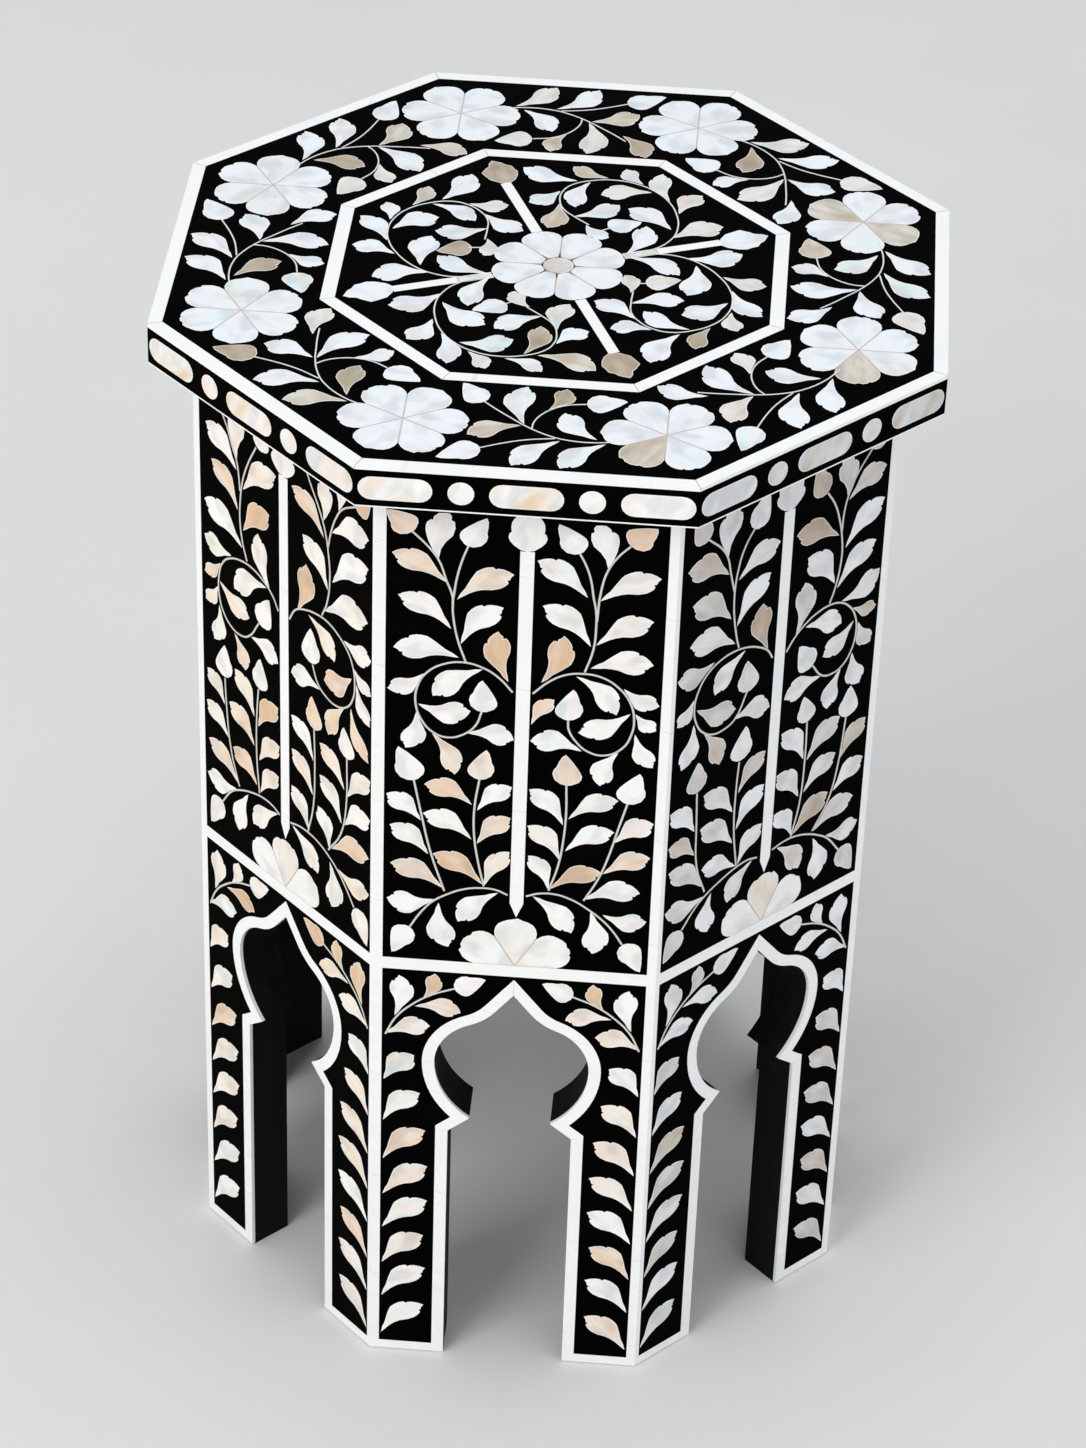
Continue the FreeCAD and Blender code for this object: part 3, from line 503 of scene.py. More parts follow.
# Top, outer field: the front sector, turned to the other sides; it ends in a bud, and the others in a leaf
RING_STEMS = [
    [(34, -124), (24, -126.5), (12, -126), (5, -123.5), (-3, -118.5), (-10, -112.5), (-15, -108),
     (-20, -103)],
    [(-1, -120), (-0.5, -115), (2, -109.5), (6, -105), (11, -102), (18, -100.5)],
    [(8, -125.5), (-2, -127.5), (-10, -130.5), (-19, -135)],
]
RING_LEAVES = [
    (-4, -117, -4.5, -90.8, 11.5),
    (4.5, -105.5, 10, -90.8, 8.5),
    (-5.2, -118, -24.4, -126.4, 11),
    (23.5, -124.5, 10.5, -107.5, 10.5),
    (10, -127, -6.5, -145.5, 11),
    (27, -127.3, 11.3, -145.5, 11),
]
RING_END_LEAF = (-18.5, -107.5, -28.8, -90.3, 10)
RING_END_BUD = (-20, -103.2, -29, -91, 10.5)
RING_BUDS = [
    (18.2, -100.5, 33.3, -97, 12),
    (-19, -134.6, -34.5, -143, 11.5),
]

# Tones by sector: its six leaves, its end leaf or bud, and its two buds
RING_TONES = [
    "wtpwwwwww", "wccwwwwww", "wwwwwwwpc", "cwwtwcwwc",
    "cppwwctcw", "wcptwwpcw", "wwwtwwwww", "wwwtwpcwt",
]

# Top, inner field: the front right quarter, turned and mirrored to the others
QUARTER_STEMS = [
    [(28.8, 10.4), (38.2, 13.6), (48.8, 12), (56.6, 7), (63, -0.7), (67.5, -10), (69, -19),
     (67.5, -28.5), (62.5, -37), (55, -42.5), (46.5, -45), (40, -43.5), (34, -38.5), (30.5, -32),
     (30, -25), (30.3, -16.5)],
    [(31.5, -10), (36.2, -9.4)],
]
QUARTER_LEAVES = [
    (32, -36.5, 15.7, -25.2, 10.5),
    (39, -44, 23.2, -45, 9.5),
    (53.5, -42, 35.3, -30.5, 9.5),
    (50, -46, 40, -68, 11.5),
    (61.3, -40, 56.5, -56, 8),
    (69, -27.5, 72, -41, 7.8),
    (67.3, -20.5, 49.8, -31.5, 11.5),
    (68.5, -11, 81, -29, 9.5),
    (64.5, -1, 81.7, -6, 10),
    (53.6, 6.4, 51.2, -16.6, 11.8),
    (49.8, 11.6, 71.4, 17.6, 12.2),
    (27, 9.6, 47.5, -1.8, 10),
    (30.2, -25.2, 50.4, -21, 10.6),
]
QUARTER_BUDS = [(34.8, -9.4, 48.4, -5.4, 11)]
QUARTER_TREFOILS = [(29.4, -17.2, 28, -4.2, 7.6)]

# Tones by quarter: its leaves, its bud and its trefoil
QUARTER_TONES = ["wwwwtcwwcwwwwcc", "cwtpwcwwwwwwwwc", "wcwwpwwwwwwwwtc", "pwwwpccccwcwwww"]

# Buds at the ends of the spokes: where they start and end, width and tone
SPOKE_ANGLES = [292.5, 22.5, 112.5, 202.5]
TAN_BUD = ((67.5, 86.5), 14.7, TAN)
WHITE_BUD = ((67, 87.5), 15.2, WHITE)
SPOKE_BUDS = [TAN_BUD, WHITE_BUD, TAN_BUD, WHITE_BUD]
SPOKE_BUD_PLAY = (0, 0.2)

# Scalloped bud over the middle strip of a panel
CAP_LENGTH = 20
CAP_WIDTH = 14.6
CAP_TONE = 0.12

# Flowers: place, length of a petal, turn and tones; the peach petals are listed by flower
CORNER_FLOWER_REACH = 128.05
CORNER_FLOWER_LENGTH = 24.8
CORNER_FLOWER_LEAN = 7.5
HALF_FLOWER_LENGTH = 24.2
CENTRE_FLOWER_LENGTH = 27
CENTRE_EYE_RADIUS = 6
CENTRE_EYE_TONE = 0.5
CENTRE_EYE_PLAY = 0.1
EYE_STEPS = 24
SIX_TURN = 60
CORNER_PETALS = 360 // SIX_TURN
CORNER_PETAL_TONES = (WHITE, WHITE, WHITE, 0.15, 0.25)
CENTRE_PETAL_RANGE = (0.02, 0.2)
HALF_PETAL_RANGES = ((0.05, 0.2), (0.22, 0.38), (0.05, 0.2))
PETAL_PLAY = (0.05, 0.35)
PEACH_PETALS = {0: (5,), 1: (5,), 2: (2, 5)}

# Rim: ovals and dots along each side, in millimetres from its middle
RIM_OVAL_PLACES = (-48.3, 0, 48.3)
RIM_OVAL_LENGTH = 27.5
RIM_OVAL_HEIGHT = 10
RIM_DOT_PLACES = (-24.1, 24.1)
RIM_DOT_WIDTH = 9.9
RIM_MIDDLE = 447.8
RIM_OVAL_RANGE = (0.2, 0.42)
RIM_DOT_RANGE = (0.05, 0.3)
RIM_GRAIN = (0.6, 0.8)
ROUND_STEPS = 9

# Colours of the shell by tone, its duller patches, its soft bands of colour and its glue lines
SIDE_STOPS = [
    (0.0, (0.94, 0.94, 0.935)),
    (0.25, (0.89, 0.87, 0.84)),
    (0.5, (0.87, 0.76, 0.655)),
    (0.7, (0.82, 0.64, 0.49)),
    (1.0, (0.7, 0.47, 0.29)),
]
# Warmer copy of the side shell for the left-hand sides: painted warm key light
WARM_LIGHT_PAINTED_STOPS = [
    (0.0, (0.96, 0.94, 0.905)),
    (0.25, (0.93, 0.88, 0.815)),
    (0.5, (0.9, 0.76, 0.62)),
    (0.7, (0.84, 0.63, 0.455)),
    (1.0, (0.73, 0.47, 0.27)),
]
# Greyer, bluer copy of the side shell for the right-hand sides: painted shade
SHADE_PAINTED_STOPS = [
    (0.0, (0.87, 0.885, 0.915)),
    (0.25, (0.77, 0.765, 0.775)),
    (0.5, (0.66, 0.615, 0.58)),
    (0.7, (0.57, 0.475, 0.39)),
    (1.0, (0.47, 0.35, 0.25)),
]
# Copy of the shell for the top: its bluer whites are painted cool skylight, its greyer tans the top's own
# shell
TOP_PAINTED_SKYLIGHT_STOPS = [
    (0.0, (0.85, 0.895, 0.94)),
    (0.25, (0.825, 0.85, 0.875)),
    (0.5, (0.74, 0.705, 0.64)),
    (0.7, (0.58, 0.5, 0.395)),
    (1.0, (0.42, 0.33, 0.23)),
]
DULL_STOPS = [(0.35, (0.83, 0.83, 0.84)), (0.54, (1.0, 1.0, 1.0))]
BAND_STOPS = [
    (0.34, (0.76, 0.92, 1.0)),
    (0.43, (1.0, 0.89, 0.75)),
    (0.5, (1.0, 1.0, 1.0)),
    (0.57, (1.0, 0.78, 0.84)),
    (0.66, (0.77, 1.0, 0.89)),
]
GLUE_BROWN = (0.36, 0.2, 0.15)
GLUE_STRENGTH = 0.8
EDGE_FADE = 0.8
EDGE_STRENGTH = 0.85
SHELL_IOR = 1.53

# Patterns are a scale and a detail, and some have a roughness; mixes and roughnesses are a gain and a start
SHELL_CLOUDS = (85.0, 3.0)
SHELL_STREAKS = (1.0, 1.5)
SHELL_BANDS = (1.0, 0.5)
SHELL_PATCHES = (1.0, 1.0)
CLOUD_DRIFT = (0.5, -0.25)
SHELL_ROUGHNESS = (0.16, 0.2)

# Scales of the shell's patterns along and across a piece, and a step that moves them on from piece to piece
STREAK_RUN = 0.045
BAND_STRETCH = (0.035, 0.17, 1)
PATCH_STRETCH = (0.09, 0.13, 1)
PATTERN_STEP = 977.0

# Shell strips: the nodes that have this finish, its colours, and its lines in metres
STRIP_NODES = (
    "arch_strips", "corner_strips", "rail_strips", "foot_strips", "centre_strips", "top_border_strips",
    "inner_ring_strips", "spoke_strips", "rim_strips", "half_flowers", "top_flowers", "centre_flower",
)
STRIP_STOPS = [
    (0.25, (0.87, 0.895, 0.915)),
    (0.5, (0.93, 0.935, 0.935)),
    (0.75, (0.93, 0.91, 0.885)),
]
STRIP_CLOUDS = (38.0, 4.0)
STRIP_GRAIN = (210.0, 2.0)
STRIP_ROUGHNESS = (0.14, 0.2)
FLECK_GREY = (0.84, 0.84, 0.84)
FLECK_MIX = (0.2, -0.02)
SHORT_SPOKE_STOPS = [(0.35, (0.45, 0.36, 0.31)), (0.5, (0.66, 0.66, 0.65)), (0.7, (0.8, 0.8, 0.79))]
SHORT_SPOKE_STRENGTH = 0.6
LINE_GREY = (0.42, 0.4, 0.38)
LINE_STRENGTH = 0.6
BUTT_BROWN = (0.5, 0.36, 0.27)
BUTT_STRENGTH = 0.35
BUTT_SHARE = 0.009
BUTT_WANDER = 0.05
BUTT_WAVES = (7.0, 0.0)
BUTT_SKEW = 0.22
LENGTHS_PER_METRE = 19.0
SHORT_SPOKE_END = 0.041
SEAM_HALF_WIDTH = 0.0003
RINGS_START = 0.088
MITRE_HALF_WIDTH = 0.00022

# Resin, wood, stems and floor; a relief is a strength and a depth in metres
RESIN_STOPS = [
    (0.3, (0.0008, 0.0007, 0.0007)),
    (0.6, (0.0014, 0.0012, 0.0011)),
    (0.8, (0.0034, 0.0025, 0.002)),
]
RESIN_PATCHES = (46.0, 5.0, 0.6)
RESIN_SCUFFS = (520.0, 3.0)
RESIN_ROUGHNESS = (0.2, 0.3)
RESIN_GLOSS = 0.004
RESIN_RELIEF = (0.05, 0.0004)
WOOD_STRETCH = (1, 1, 0.07)
WOOD_DETAIL = (5.0, 0.6)
WOOD_ROUGHNESS_GAIN = 0.2
WOOD_GLOSS = 0.05
WOOD_RELIEF = (0.25, 0.0006)
STEM_WEAR = (240.0, 3.0)
STEM_UNEVEN = (0.6, -0.3)
STEM_ROUGHNESS = (0.2, 0.3)
FLOOR_CLOUDS = (3.0, 4.0)
FLOOR_ROUGHNESS = (0.1, 0.75)
FLOOR_STOPS = [(0.3, (0.73, 0.725, 0.715)), (0.7, (0.76, 0.755, 0.745))]
FLOOR_SIZE = 14

# Places of a mix node's factor and two colours among its inputs, and of its colour among its outputs
MIX_INPUTS = (0, 6, 7)
MIX_OUTPUT = 2

# Light
LAMP_AIM_HEIGHT = 0.25
SKY_STOPS = [
    (0.0, (0.58, 0.58, 0.58)),
    (0.5, (0.62, 0.63, 0.64)),
    (1.0, (0.72, 0.75, 0.78)),
]
SKY_STRENGTH = 1.05

# Camera at the photograph's angle, in metres, with its lens in millimetres
CAMERA_TURN = math.radians(3.21)
CAMERA_RISE = math.radians(36.13)
CAMERA_ROLL = math.radians(2.02)
CAMERA_DISTANCE = 1.759
CAMERA_ASIDE = -0.006
CAMERA_DOWN = -0.1792
CAMERA_LENS = 111.9


def select_only(piece):
    """Deselect everything, then select one piece and make it active."""
    bpy.ops.object.select_all(action="DESELECT")
    piece.select_set(True)
    bpy.context.view_layer.objects.active = piece


def counter_clockwise(points):
    """The points in the order that makes a face look up."""
    area = sum(a[0] * b[1] - b[0] * a[1] for a, b in zip(points, points[1:] + points[:1]))
    return points if area > 0 else points[::-1]


def growth_side(base, tip, stems):
    """1 where the stem runs on to the left of a leaf that springs from it, and -1 to its right."""
    axis = tip - base
    nearest = None
    for stem in stems:
        for start, end in zip(stem, stem[1:]):
            start, end = Vector(start), Vector(end)
            run = end - start
            share = min(1, max(0, (base - start).dot(run) / run.length_squared))
            distance = (base - start - run * share).length
            if nearest is None or distance < nearest[0]:
                nearest = (distance, run)
    run = nearest[1] if nearest[1].dot(axis) > 0 else -nearest[1]
    return 1 if axis.x * run.y - axis.y * run.x > 0 else -1


def bowed(bow, reach):
    """How far a bowed piece lies to the side at a share of its length."""
    return bow * 4 * reach * (1 - reach)


def shape(outline, base, tip, width, tone, play, side=1, bow=0, joint=0):
    """A flat piece drawn from its stem end to its tip, bowed to one side."""
    base, tip = Vector(base), Vector(tip)
    axis = tip - base
    across = Vector((-axis.y, axis.x)).normalized() * side
    points = [base + axis * reach + across * (share * width + bowed(bow, reach)) for reach, share in outline]
    return {
        "points": [tuple(point) for point in points], "base": base, "axis": axis, "bow": bow * side,
        "tone": tone, "play": play, "joint": joint,
    }


def lot_tone(lot, warmth):
    """A tone drawn by lot: mostly white, some cream and a little tan."""
    draw = lot.random()
    if draw < WHITE_SHARE - WARM_SHIFT * warmth:
        return lot.uniform(*WHITE_RANGE) + WARM_SHIFT * warmth
    if draw < PALE_SHARE - PALE_SHIFT * warmth:
        return lot.uniform(*CREAM_RANGE)
    return lot.uniform(*TAN_RANGE)


def toned(rows, letters):
    """The rows with the tones that the letters say."""
    return [(*row, TONE_LETTERS[letter]) for row, letter in zip(rows, letters)]


def placed(stems, place):
    """The stems moved to where place says."""
    return [[place(point) for point in stem] for stem in stems]


def leaf_shapes(stems, leaves, buds, trefoils, place, lot, warmth=0, keep_tones=True):
    """The pieces of one stretch of vine; place maps its readings to where they go."""
    placed_stems = placed(stems, place)
    made = []
    for outline, rows, bow_share in ((LEAF, leaves, LEAF_BOW), (BUD, buds, 0), (TREFOIL, trefoils, 0)):
        for base_x, base_y, tip_x, tip_y, width, tone in rows:
            base, tip = Vector(place((base_x, base_y))), Vector(place((tip_x, tip_y)))
            if outline is TREFOIL:
                side = 1 if base.x < 0 else -1
            else:
                side = growth_side(base, tip, placed_stems)
            bow = bow_share * (tip - base).length * lot.uniform(*BOW_SPREAD)
            # Drawn for every piece, also where the tone that was read is kept
            drawn = lot_tone(lot, warmth)
            tone = tone + lot.uniform(-TONE_SPREAD, TONE_SPREAD) if keep_tones else drawn
            wide = width * lot.uniform(*WIDTH_SPREAD)
            made.append(shape(outline, base, tip, wide, tone, lot.random() ** 2, side, bow))
    return made


def flower_shapes(outlines, joint, middle, length, first, turn, tones, lot, number=0):
    """The petals of one flower, every second one turned over so that like sides meet."""
    made = []
    for step, tone in enumerate(tones):
        outline = outlines[(step + number) % len(outlines)]
        angle = math.radians(first + turn * step)
        tip = Vector(middle) + Vector((math.cos(angle), math.sin(angle))) * length
        side = 1 if step % 2 else -1
        made.append(shape(outline, middle, tip, length, tone, lot.uniform(*PETAL_PLAY), side, 0, joint))
    return made


def rim_shape(x, length, height, tone_range, lot):
    """A level bar with round ends on the rim; one that is as long as it is high is a dot."""
    run = (length - height) / 2
    points = []
    for end in (1, -1):
        for step in range(ROUND_STEPS + 1):
            angle = math.pi * (step / ROUND_STEPS - 0.5)
            if run or step < ROUND_STEPS:
                points.append((
                    x + end * (run + math.cos(angle) * height / 2),
                    RIM_MIDDLE + end * math.sin(angle) * height / 2,
                ))
    return {
        "points": points, "base": Vector((x, RIM_MIDDLE)), "axis": Vector(RIM_GRAIN), "bow": 0,
        "tone": lot.uniform(*tone_range), "play": lot.random(), "joint": -length,
    }


def flat_faces(name, outlines):
    """A piece with one flat face for each outline, and the number of the outline kept on each face."""
    bpy.ops.object.select_all(action="DESELECT")
    bpy.ops.mesh.primitive_circle_add(vertices=len(outlines[0]), fill_type="NGON", enter_editmode=True)
    for outline in outlines[1:]:
        bpy.ops.mesh.primitive_circle_add(vertices=len(outline), fill_type="NGON")
    bpy.ops.object.mode_set(mode="OBJECT")
    piece = bpy.context.object
    piece.name = name
    mesh = piece.data
    mesh.name = name
    corners = [point for outline in outlines for point in outline]
    for vertex, point in zip(mesh.vertices, corners):
        vertex.co = (point[0] * MM, point[1] * MM, PLATE_PROUD * MM)
    owners = [number for number, outline in enumerate(outlines) for point in outline]
    mesh.attributes.new("piece", "INT", "FACE")
    numbers = mesh.attributes["piece"].data
    for polygon in mesh.polygons:
        numbers[polygon.index].value = owners[polygon.vertices[0]]
    return piece


def mark_points(mesh, shapes):
    """Keep tone, play of colour, edge and joint on every point, and a map that runs along every shape."""
    mesh.uv_layers.active.name = "grain"
    for kind in POINT_MARKS:
        mesh.attributes.new(kind, "FLOAT", "POINT")
    tone, play, edge, joint = (mesh.attributes[kind].data for kind in POINT_MARKS)
    grain = mesh.uv_layers["grain"].data
    numbers = mesh.attributes["piece"].data
    inner_height = (PLATE_PROUD + EDGE_RISE / 2) * MM
    for polygon in mesh.polygons:
        item = shapes[numbers[polygon.index].value]
        length = item["axis"].length
        along = item["axis"].normalized()
        for loop in polygon.loop_indices:
            index = mesh.loops[loop].vertex_index
            point = mesh.vertices[index].co
            offset = Vector((point.x / MM, point.y / MM)) - item["base"]
            reach = offset.dot(along) / length
            across = along.x * offset.y - along.y * offset.x - bowed(item["bow"], reach)
            outer = point.z < inner_height
            grain[loop].uv = (reach * length, across)
            tone[index].value = item["tone"]
            play[index].value = item["play"]
            edge[index].value = 1 if outer else 0
            joint[index].value = 1 if outer and reach < item["joint"] else 0


def stand(piece, place):
    """Move a piece that was drawn on the level plane to its place, and apply that."""
    select_only(piece)
    piece.matrix_world = place
    bpy.ops.object.transform_apply(location=True, rotation=True, scale=True)


def shell_plates(name, shapes, thickness, place):
    """Closed shell plates with a fine raised edge, one for each shape, stood where place says."""
    piece = flat_faces(name, [counter_clockwise(item["points"]) for item in shapes])

    # Fine raised edge round every plate
    bpy.ops.object.mode_set(mode="EDIT")
    bpy.ops.mesh.select_all(action="SELECT")
    bpy.ops.mesh.inset(thickness=EDGE_WIDTH * MM, depth=EDGE_RISE * MM, use_individual=True)
    bpy.ops.object.mode_set(mode="OBJECT")
    mark_points(piece.data, shapes)

    # Thickness, down into the resin
    wall = piece.modifiers.new("thickness", "SOLIDIFY")
    wall.thickness = thickness * MM
    wall.offset = -1
    select_only(piece)
    bpy.ops.object.modifier_apply(modifier=wall.name)
    stand(piece, place)
    return piece


def stem_lines(name, lines, radius, place):
    """Thin half-round stems along smooth curves."""
    bpy.ops.object.select_all(action="DESELECT")
    bpy.ops.curve.primitive_bezier_curve_add()
    piece = bpy.context.object
    piece.name = name
    curve = piece.data
    curve.splines.clear()
    for line in lines:
        spline = curve.splines.new("BEZIER")
        spline.bezier_points.add(len(line) - 1)
        for knot, point in zip(spline.bezier_points, line):
            knot.co = (point[0] * MM, point[1] * MM, 0)
            knot.handle_left_type = "AUTO"
            knot.handle_right_type = "AUTO"
    curve.resolution_u = STEM_STEPS
    curve.bevel_depth = radius * MM
    curve.bevel_resolution = STEM_ROUND_STEPS
    curve.use_fill_caps = True
    select_only(piece)
    bpy.ops.object.convert(target="MESH")
    piece = bpy.context.object
    piece.data.name = name
    # Edge is 1 along the sides of the round and 0 along its crown; the stem material darkens by it as painted
    # shade
    piece.data.attributes.new("edge", "FLOAT", "POINT")
    edge = piece.data.attributes["edge"].data
    for vertex in piece.data.vertices:
        edge[vertex.index].value = 1 - abs(vertex.co.z) / (radius * MM)
    bpy.ops.object.shade_smooth()
    stand(piece, place @ Matrix.Diagonal((1, 1, STEM_FLATTEN, 1)))
    return piece


def on_panel(turn, face):
    """The place of a drawing that stands on one side of the table."""
    upright = Matrix.Rotation(math.radians(90), 4, "X")
    return Matrix.Rotation(math.radians(turn), 4, "Z") @ Matrix.Translation((0, -face, 0)) @ upright


def on_top():
    """The place of a drawing that lies on the top."""
    return Matrix.Translation((0, 0, TOP_FACE))


def panel_place(reading, left_field, right_field):
    """How a reading of a panel maps to one panel of the model."""

    def place(point):
        high = (point[1] - RAIL_HEIGHT) / (RIM_LINE - RAIL_HEIGHT)
        left, middle, right = (at_rail + (at_rim - at_rail) * high for at_rail, at_rim in reading["edges"])
        left_rail, right_rail = reading["rail"]
        rail = left_rail + (right_rail - left_rail) * (point[0] - left) / (right - left)
        up = RIM_LINE - (RIM_LINE - point[1]) * (RIM_LINE - RAIL_HEIGHT) / (RIM_LINE - rail)
        from_middle = point[0] - middle
        side = 1 if from_middle > 0 else -1
        read_field = right - middle if side > 0 else middle - left
        field = right_field if side > 0 else left_field
        strip_half = reading["strip_half"]
        share = (abs(from_middle) - strip_half) / (read_field - strip_half)
        return (side * (CENTRE_STRIP_HALF + share * (field - CENTRE_STRIP_HALF)), up)

    return place


def beside_arch(side, field):
    """How a reading beside the arch maps to one half of a panel."""
    return lambda point: (-side * point[0] * field / READ_LEG_EDGE, point[1])


def turned_point(point, angle):
    """A point turned about the middle of the top."""
    turn = Matrix.Rotation(math.radians(angle), 2)
    return tuple(turn @ Vector(point))


def mirrored_point(point, angle):
    """A point mirrored in the line at an angle through the middle of the top."""
    x, y = turned_point(point, -angle)
    return turned_point((x, -y), angle)


def on_sector(side):
    """How a reading of the front sector of the top maps to one of the eight sectors."""
    return lambda point: turned_point(point, side * SIDE_TURN)


def on_quarter(quarter):
    """How a reading of the front right quarter of the top maps to one of the four quarters."""

    def place(point):
        if quarter % 2:
            point = mirrored_point(point, SPOKE_ANGLES[0])
        return turned_point(point, 180 * (quarter // 2))

    return place


class Wiring:
    """The nodes of a material or of the world, with short ways to add and wire them."""

    def __init__(self, tree):
        self.nodes = tree.nodes
        self.links = tree.links

    def feed(self, socket, value):
        """Wire a socket to an output, or set it to a number or a colour."""
        if isinstance(value, bpy.types.NodeSocket):
            self.links.new(value, socket)
        elif isinstance(value, tuple):
            socket.default_value = (*value, 1)
        else:
            socket.default_value = value

    def ramp(self, factor, stops):
        """A colour ramp fed by a factor."""
        node = self.nodes.new("ShaderNodeValToRGB")
        elements = node.color_ramp.elements
        for element, (position, colour) in zip(elements[:], (stops[0], stops[-1])):
            element.position = position
            element.color = (*colour, 1)
        for position, colour in stops[1:-1]:
            elements.new(position).color = (*colour, 1)
        self.feed(node.inputs["Fac"], factor)
        return node.outputs["Color"]

    def mix(self, factor, first, second, kind="MIX"):
        """Two colours mixed; a colour may be a socket or plain numbers."""
        node = self.nodes.new("ShaderNodeMix")
        node.data_type = "RGBA"
        node.blend_type = kind
        for number, value in zip(MIX_INPUTS, (factor, first, second)):
            self.feed(node.inputs[number], value)
        return node.outputs[MIX_OUTPUT]

    def maths(self, operation, *values):
        """A sum on numbers or sockets."""
        node = self.nodes.new("ShaderNodeMath")
        node.operation = operation
        for socket, value in zip(node.inputs, values):
            self.feed(socket, value)
        return node.outputs[0]

    def product(self, value, *others):
        """A socket multiplied by numbers or sockets."""
        for other in others:
            value = self.maths("MULTIPLY", value, other)
        return value

    def scaled(self, value, gain, start):
        """A socket times a gain, plus a start."""
        return self.maths("MULTIPLY_ADD", value, gain, start)

    def noise(self, vector, scale, detail=2.0, roughness=0.5):
        """Soft cloud pattern on a vector."""
        node = self.nodes.new("ShaderNodeTexNoise")
        node.inputs["Scale"].default_value = scale
        node.inputs["Detail"].default_value = detail
        node.inputs["Roughness"].default_value = roughness
        self.feed(node.inputs["Vector"], vector)
        return node.outputs["Fac"]

    def stretched(self, vector, scale, shift=None):
        """A vector scaled along its axes, and shifted by a socket."""
        node = self.nodes.new("ShaderNodeMapping")
        node.inputs["Scale"].default_value = scale
        self.feed(node.inputs["Vector"], vector)
        if shift is not None:
            self.feed(node.inputs["Location"], shift)
        return node.outputs["Vector"]

    def split(self, vector):
        """The three parts of a vector."""
        node = self.nodes.new("ShaderNodeSeparateXYZ")
        self.feed(node.inputs[0], vector)
        return [node.outputs[axis] for axis in "XYZ"]

    def relief(self, height, strength, distance):
        """Fine relief for a shader's normal."""
        node = self.nodes.new("ShaderNodeBump")
        node.inputs["Strength"].default_value = strength
        node.inputs["Distance"].default_value = distance
        self.feed(node.inputs["Height"], height)
        return node.outputs["Normal"]

    def attribute(self, name):
        """A number kept on the points of a piece."""
        node = self.nodes.new("ShaderNodeAttribute")
        node.attribute_name = name
        return node.outputs["Fac"]

    def place(self):
        """Object coordinates, which are places on the table."""
        return self.nodes.new("ShaderNodeTexCoord").outputs["Object"]

    def grain(self):
        """The map that runs along every shell plate, in millimetres."""
        node = self.nodes.new("ShaderNodeUVMap")
        node.uv_map = "grain"
        return node.outputs["UV"]


def new_material(name):
    """An empty node material, its wiring and the inputs of its shader."""
    material = bpy.data.materials.new(name)
    material.use_nodes = True
    wires = Wiring(material.node_tree)
    return material, wires, wires.nodes["Principled BSDF"].inputs


def shell_material(name, stops, bright, streak_gain, streak_scale, play_gain):
    """Cut shell: white to tan, streaked along each piece, with a play of colour and a bright ground edge."""
    material, wires, shader = new_material(name)
    play = wires.attribute("play")
    run = wires.grain()
    far = wires.product(play, PATTERN_STEP)
    clouds = wires.noise(wires.place(), *SHELL_CLOUDS)
    streaks = wires.noise(wires.stretched(run, (STREAK_RUN, streak_scale, 1), far), *SHELL_STREAKS)
    bands = wires.noise(wires.stretched(run, BAND_STRETCH, far), *SHELL_BANDS)
    dull = wires.noise(wires.stretched(run, PATCH_STRETCH, far), *SHELL_PATCHES)

    # Ground colour by tone, pushed lighter and darker by the clouds and streaks, with duller patches
    drift = wires.scaled(clouds, *CLOUD_DRIFT)
    fleck = wires.scaled(streaks, streak_gain, -streak_gain / 2)
    shade = wires.maths("ADD", wires.attribute("tone"), wires.maths("ADD", drift, fleck))
    ground = wires.mix(1.0, wires.ramp(shade, stops), wires.ramp(dull, DULL_STOPS), "MULTIPLY")

    # Soft bands of colour
    strength = wires.product(play, play_gain)
    tinted = wires.mix(strength, ground, wires.ramp(bands, BAND_STOPS), "MULTIPLY")

    # Bright ground edge, and brown glue lines where petals meet
    rim = wires.product(wires.maths("POWER", wires.attribute("edge"), EDGE_FADE), EDGE_STRENGTH)
    edged = wires.mix(rim, tinted, bright)
    glue = wires.product(wires.attribute("joint"), GLUE_STRENGTH)
    wires.feed(shader["Base Color"], wires.mix(glue, edged, GLUE_BROWN))
    wires.feed(shader["Roughness"], wires.scaled(streaks, *SHELL_ROUGHNESS))
    shader["IOR"].default_value = SHELL_IOR
    return material


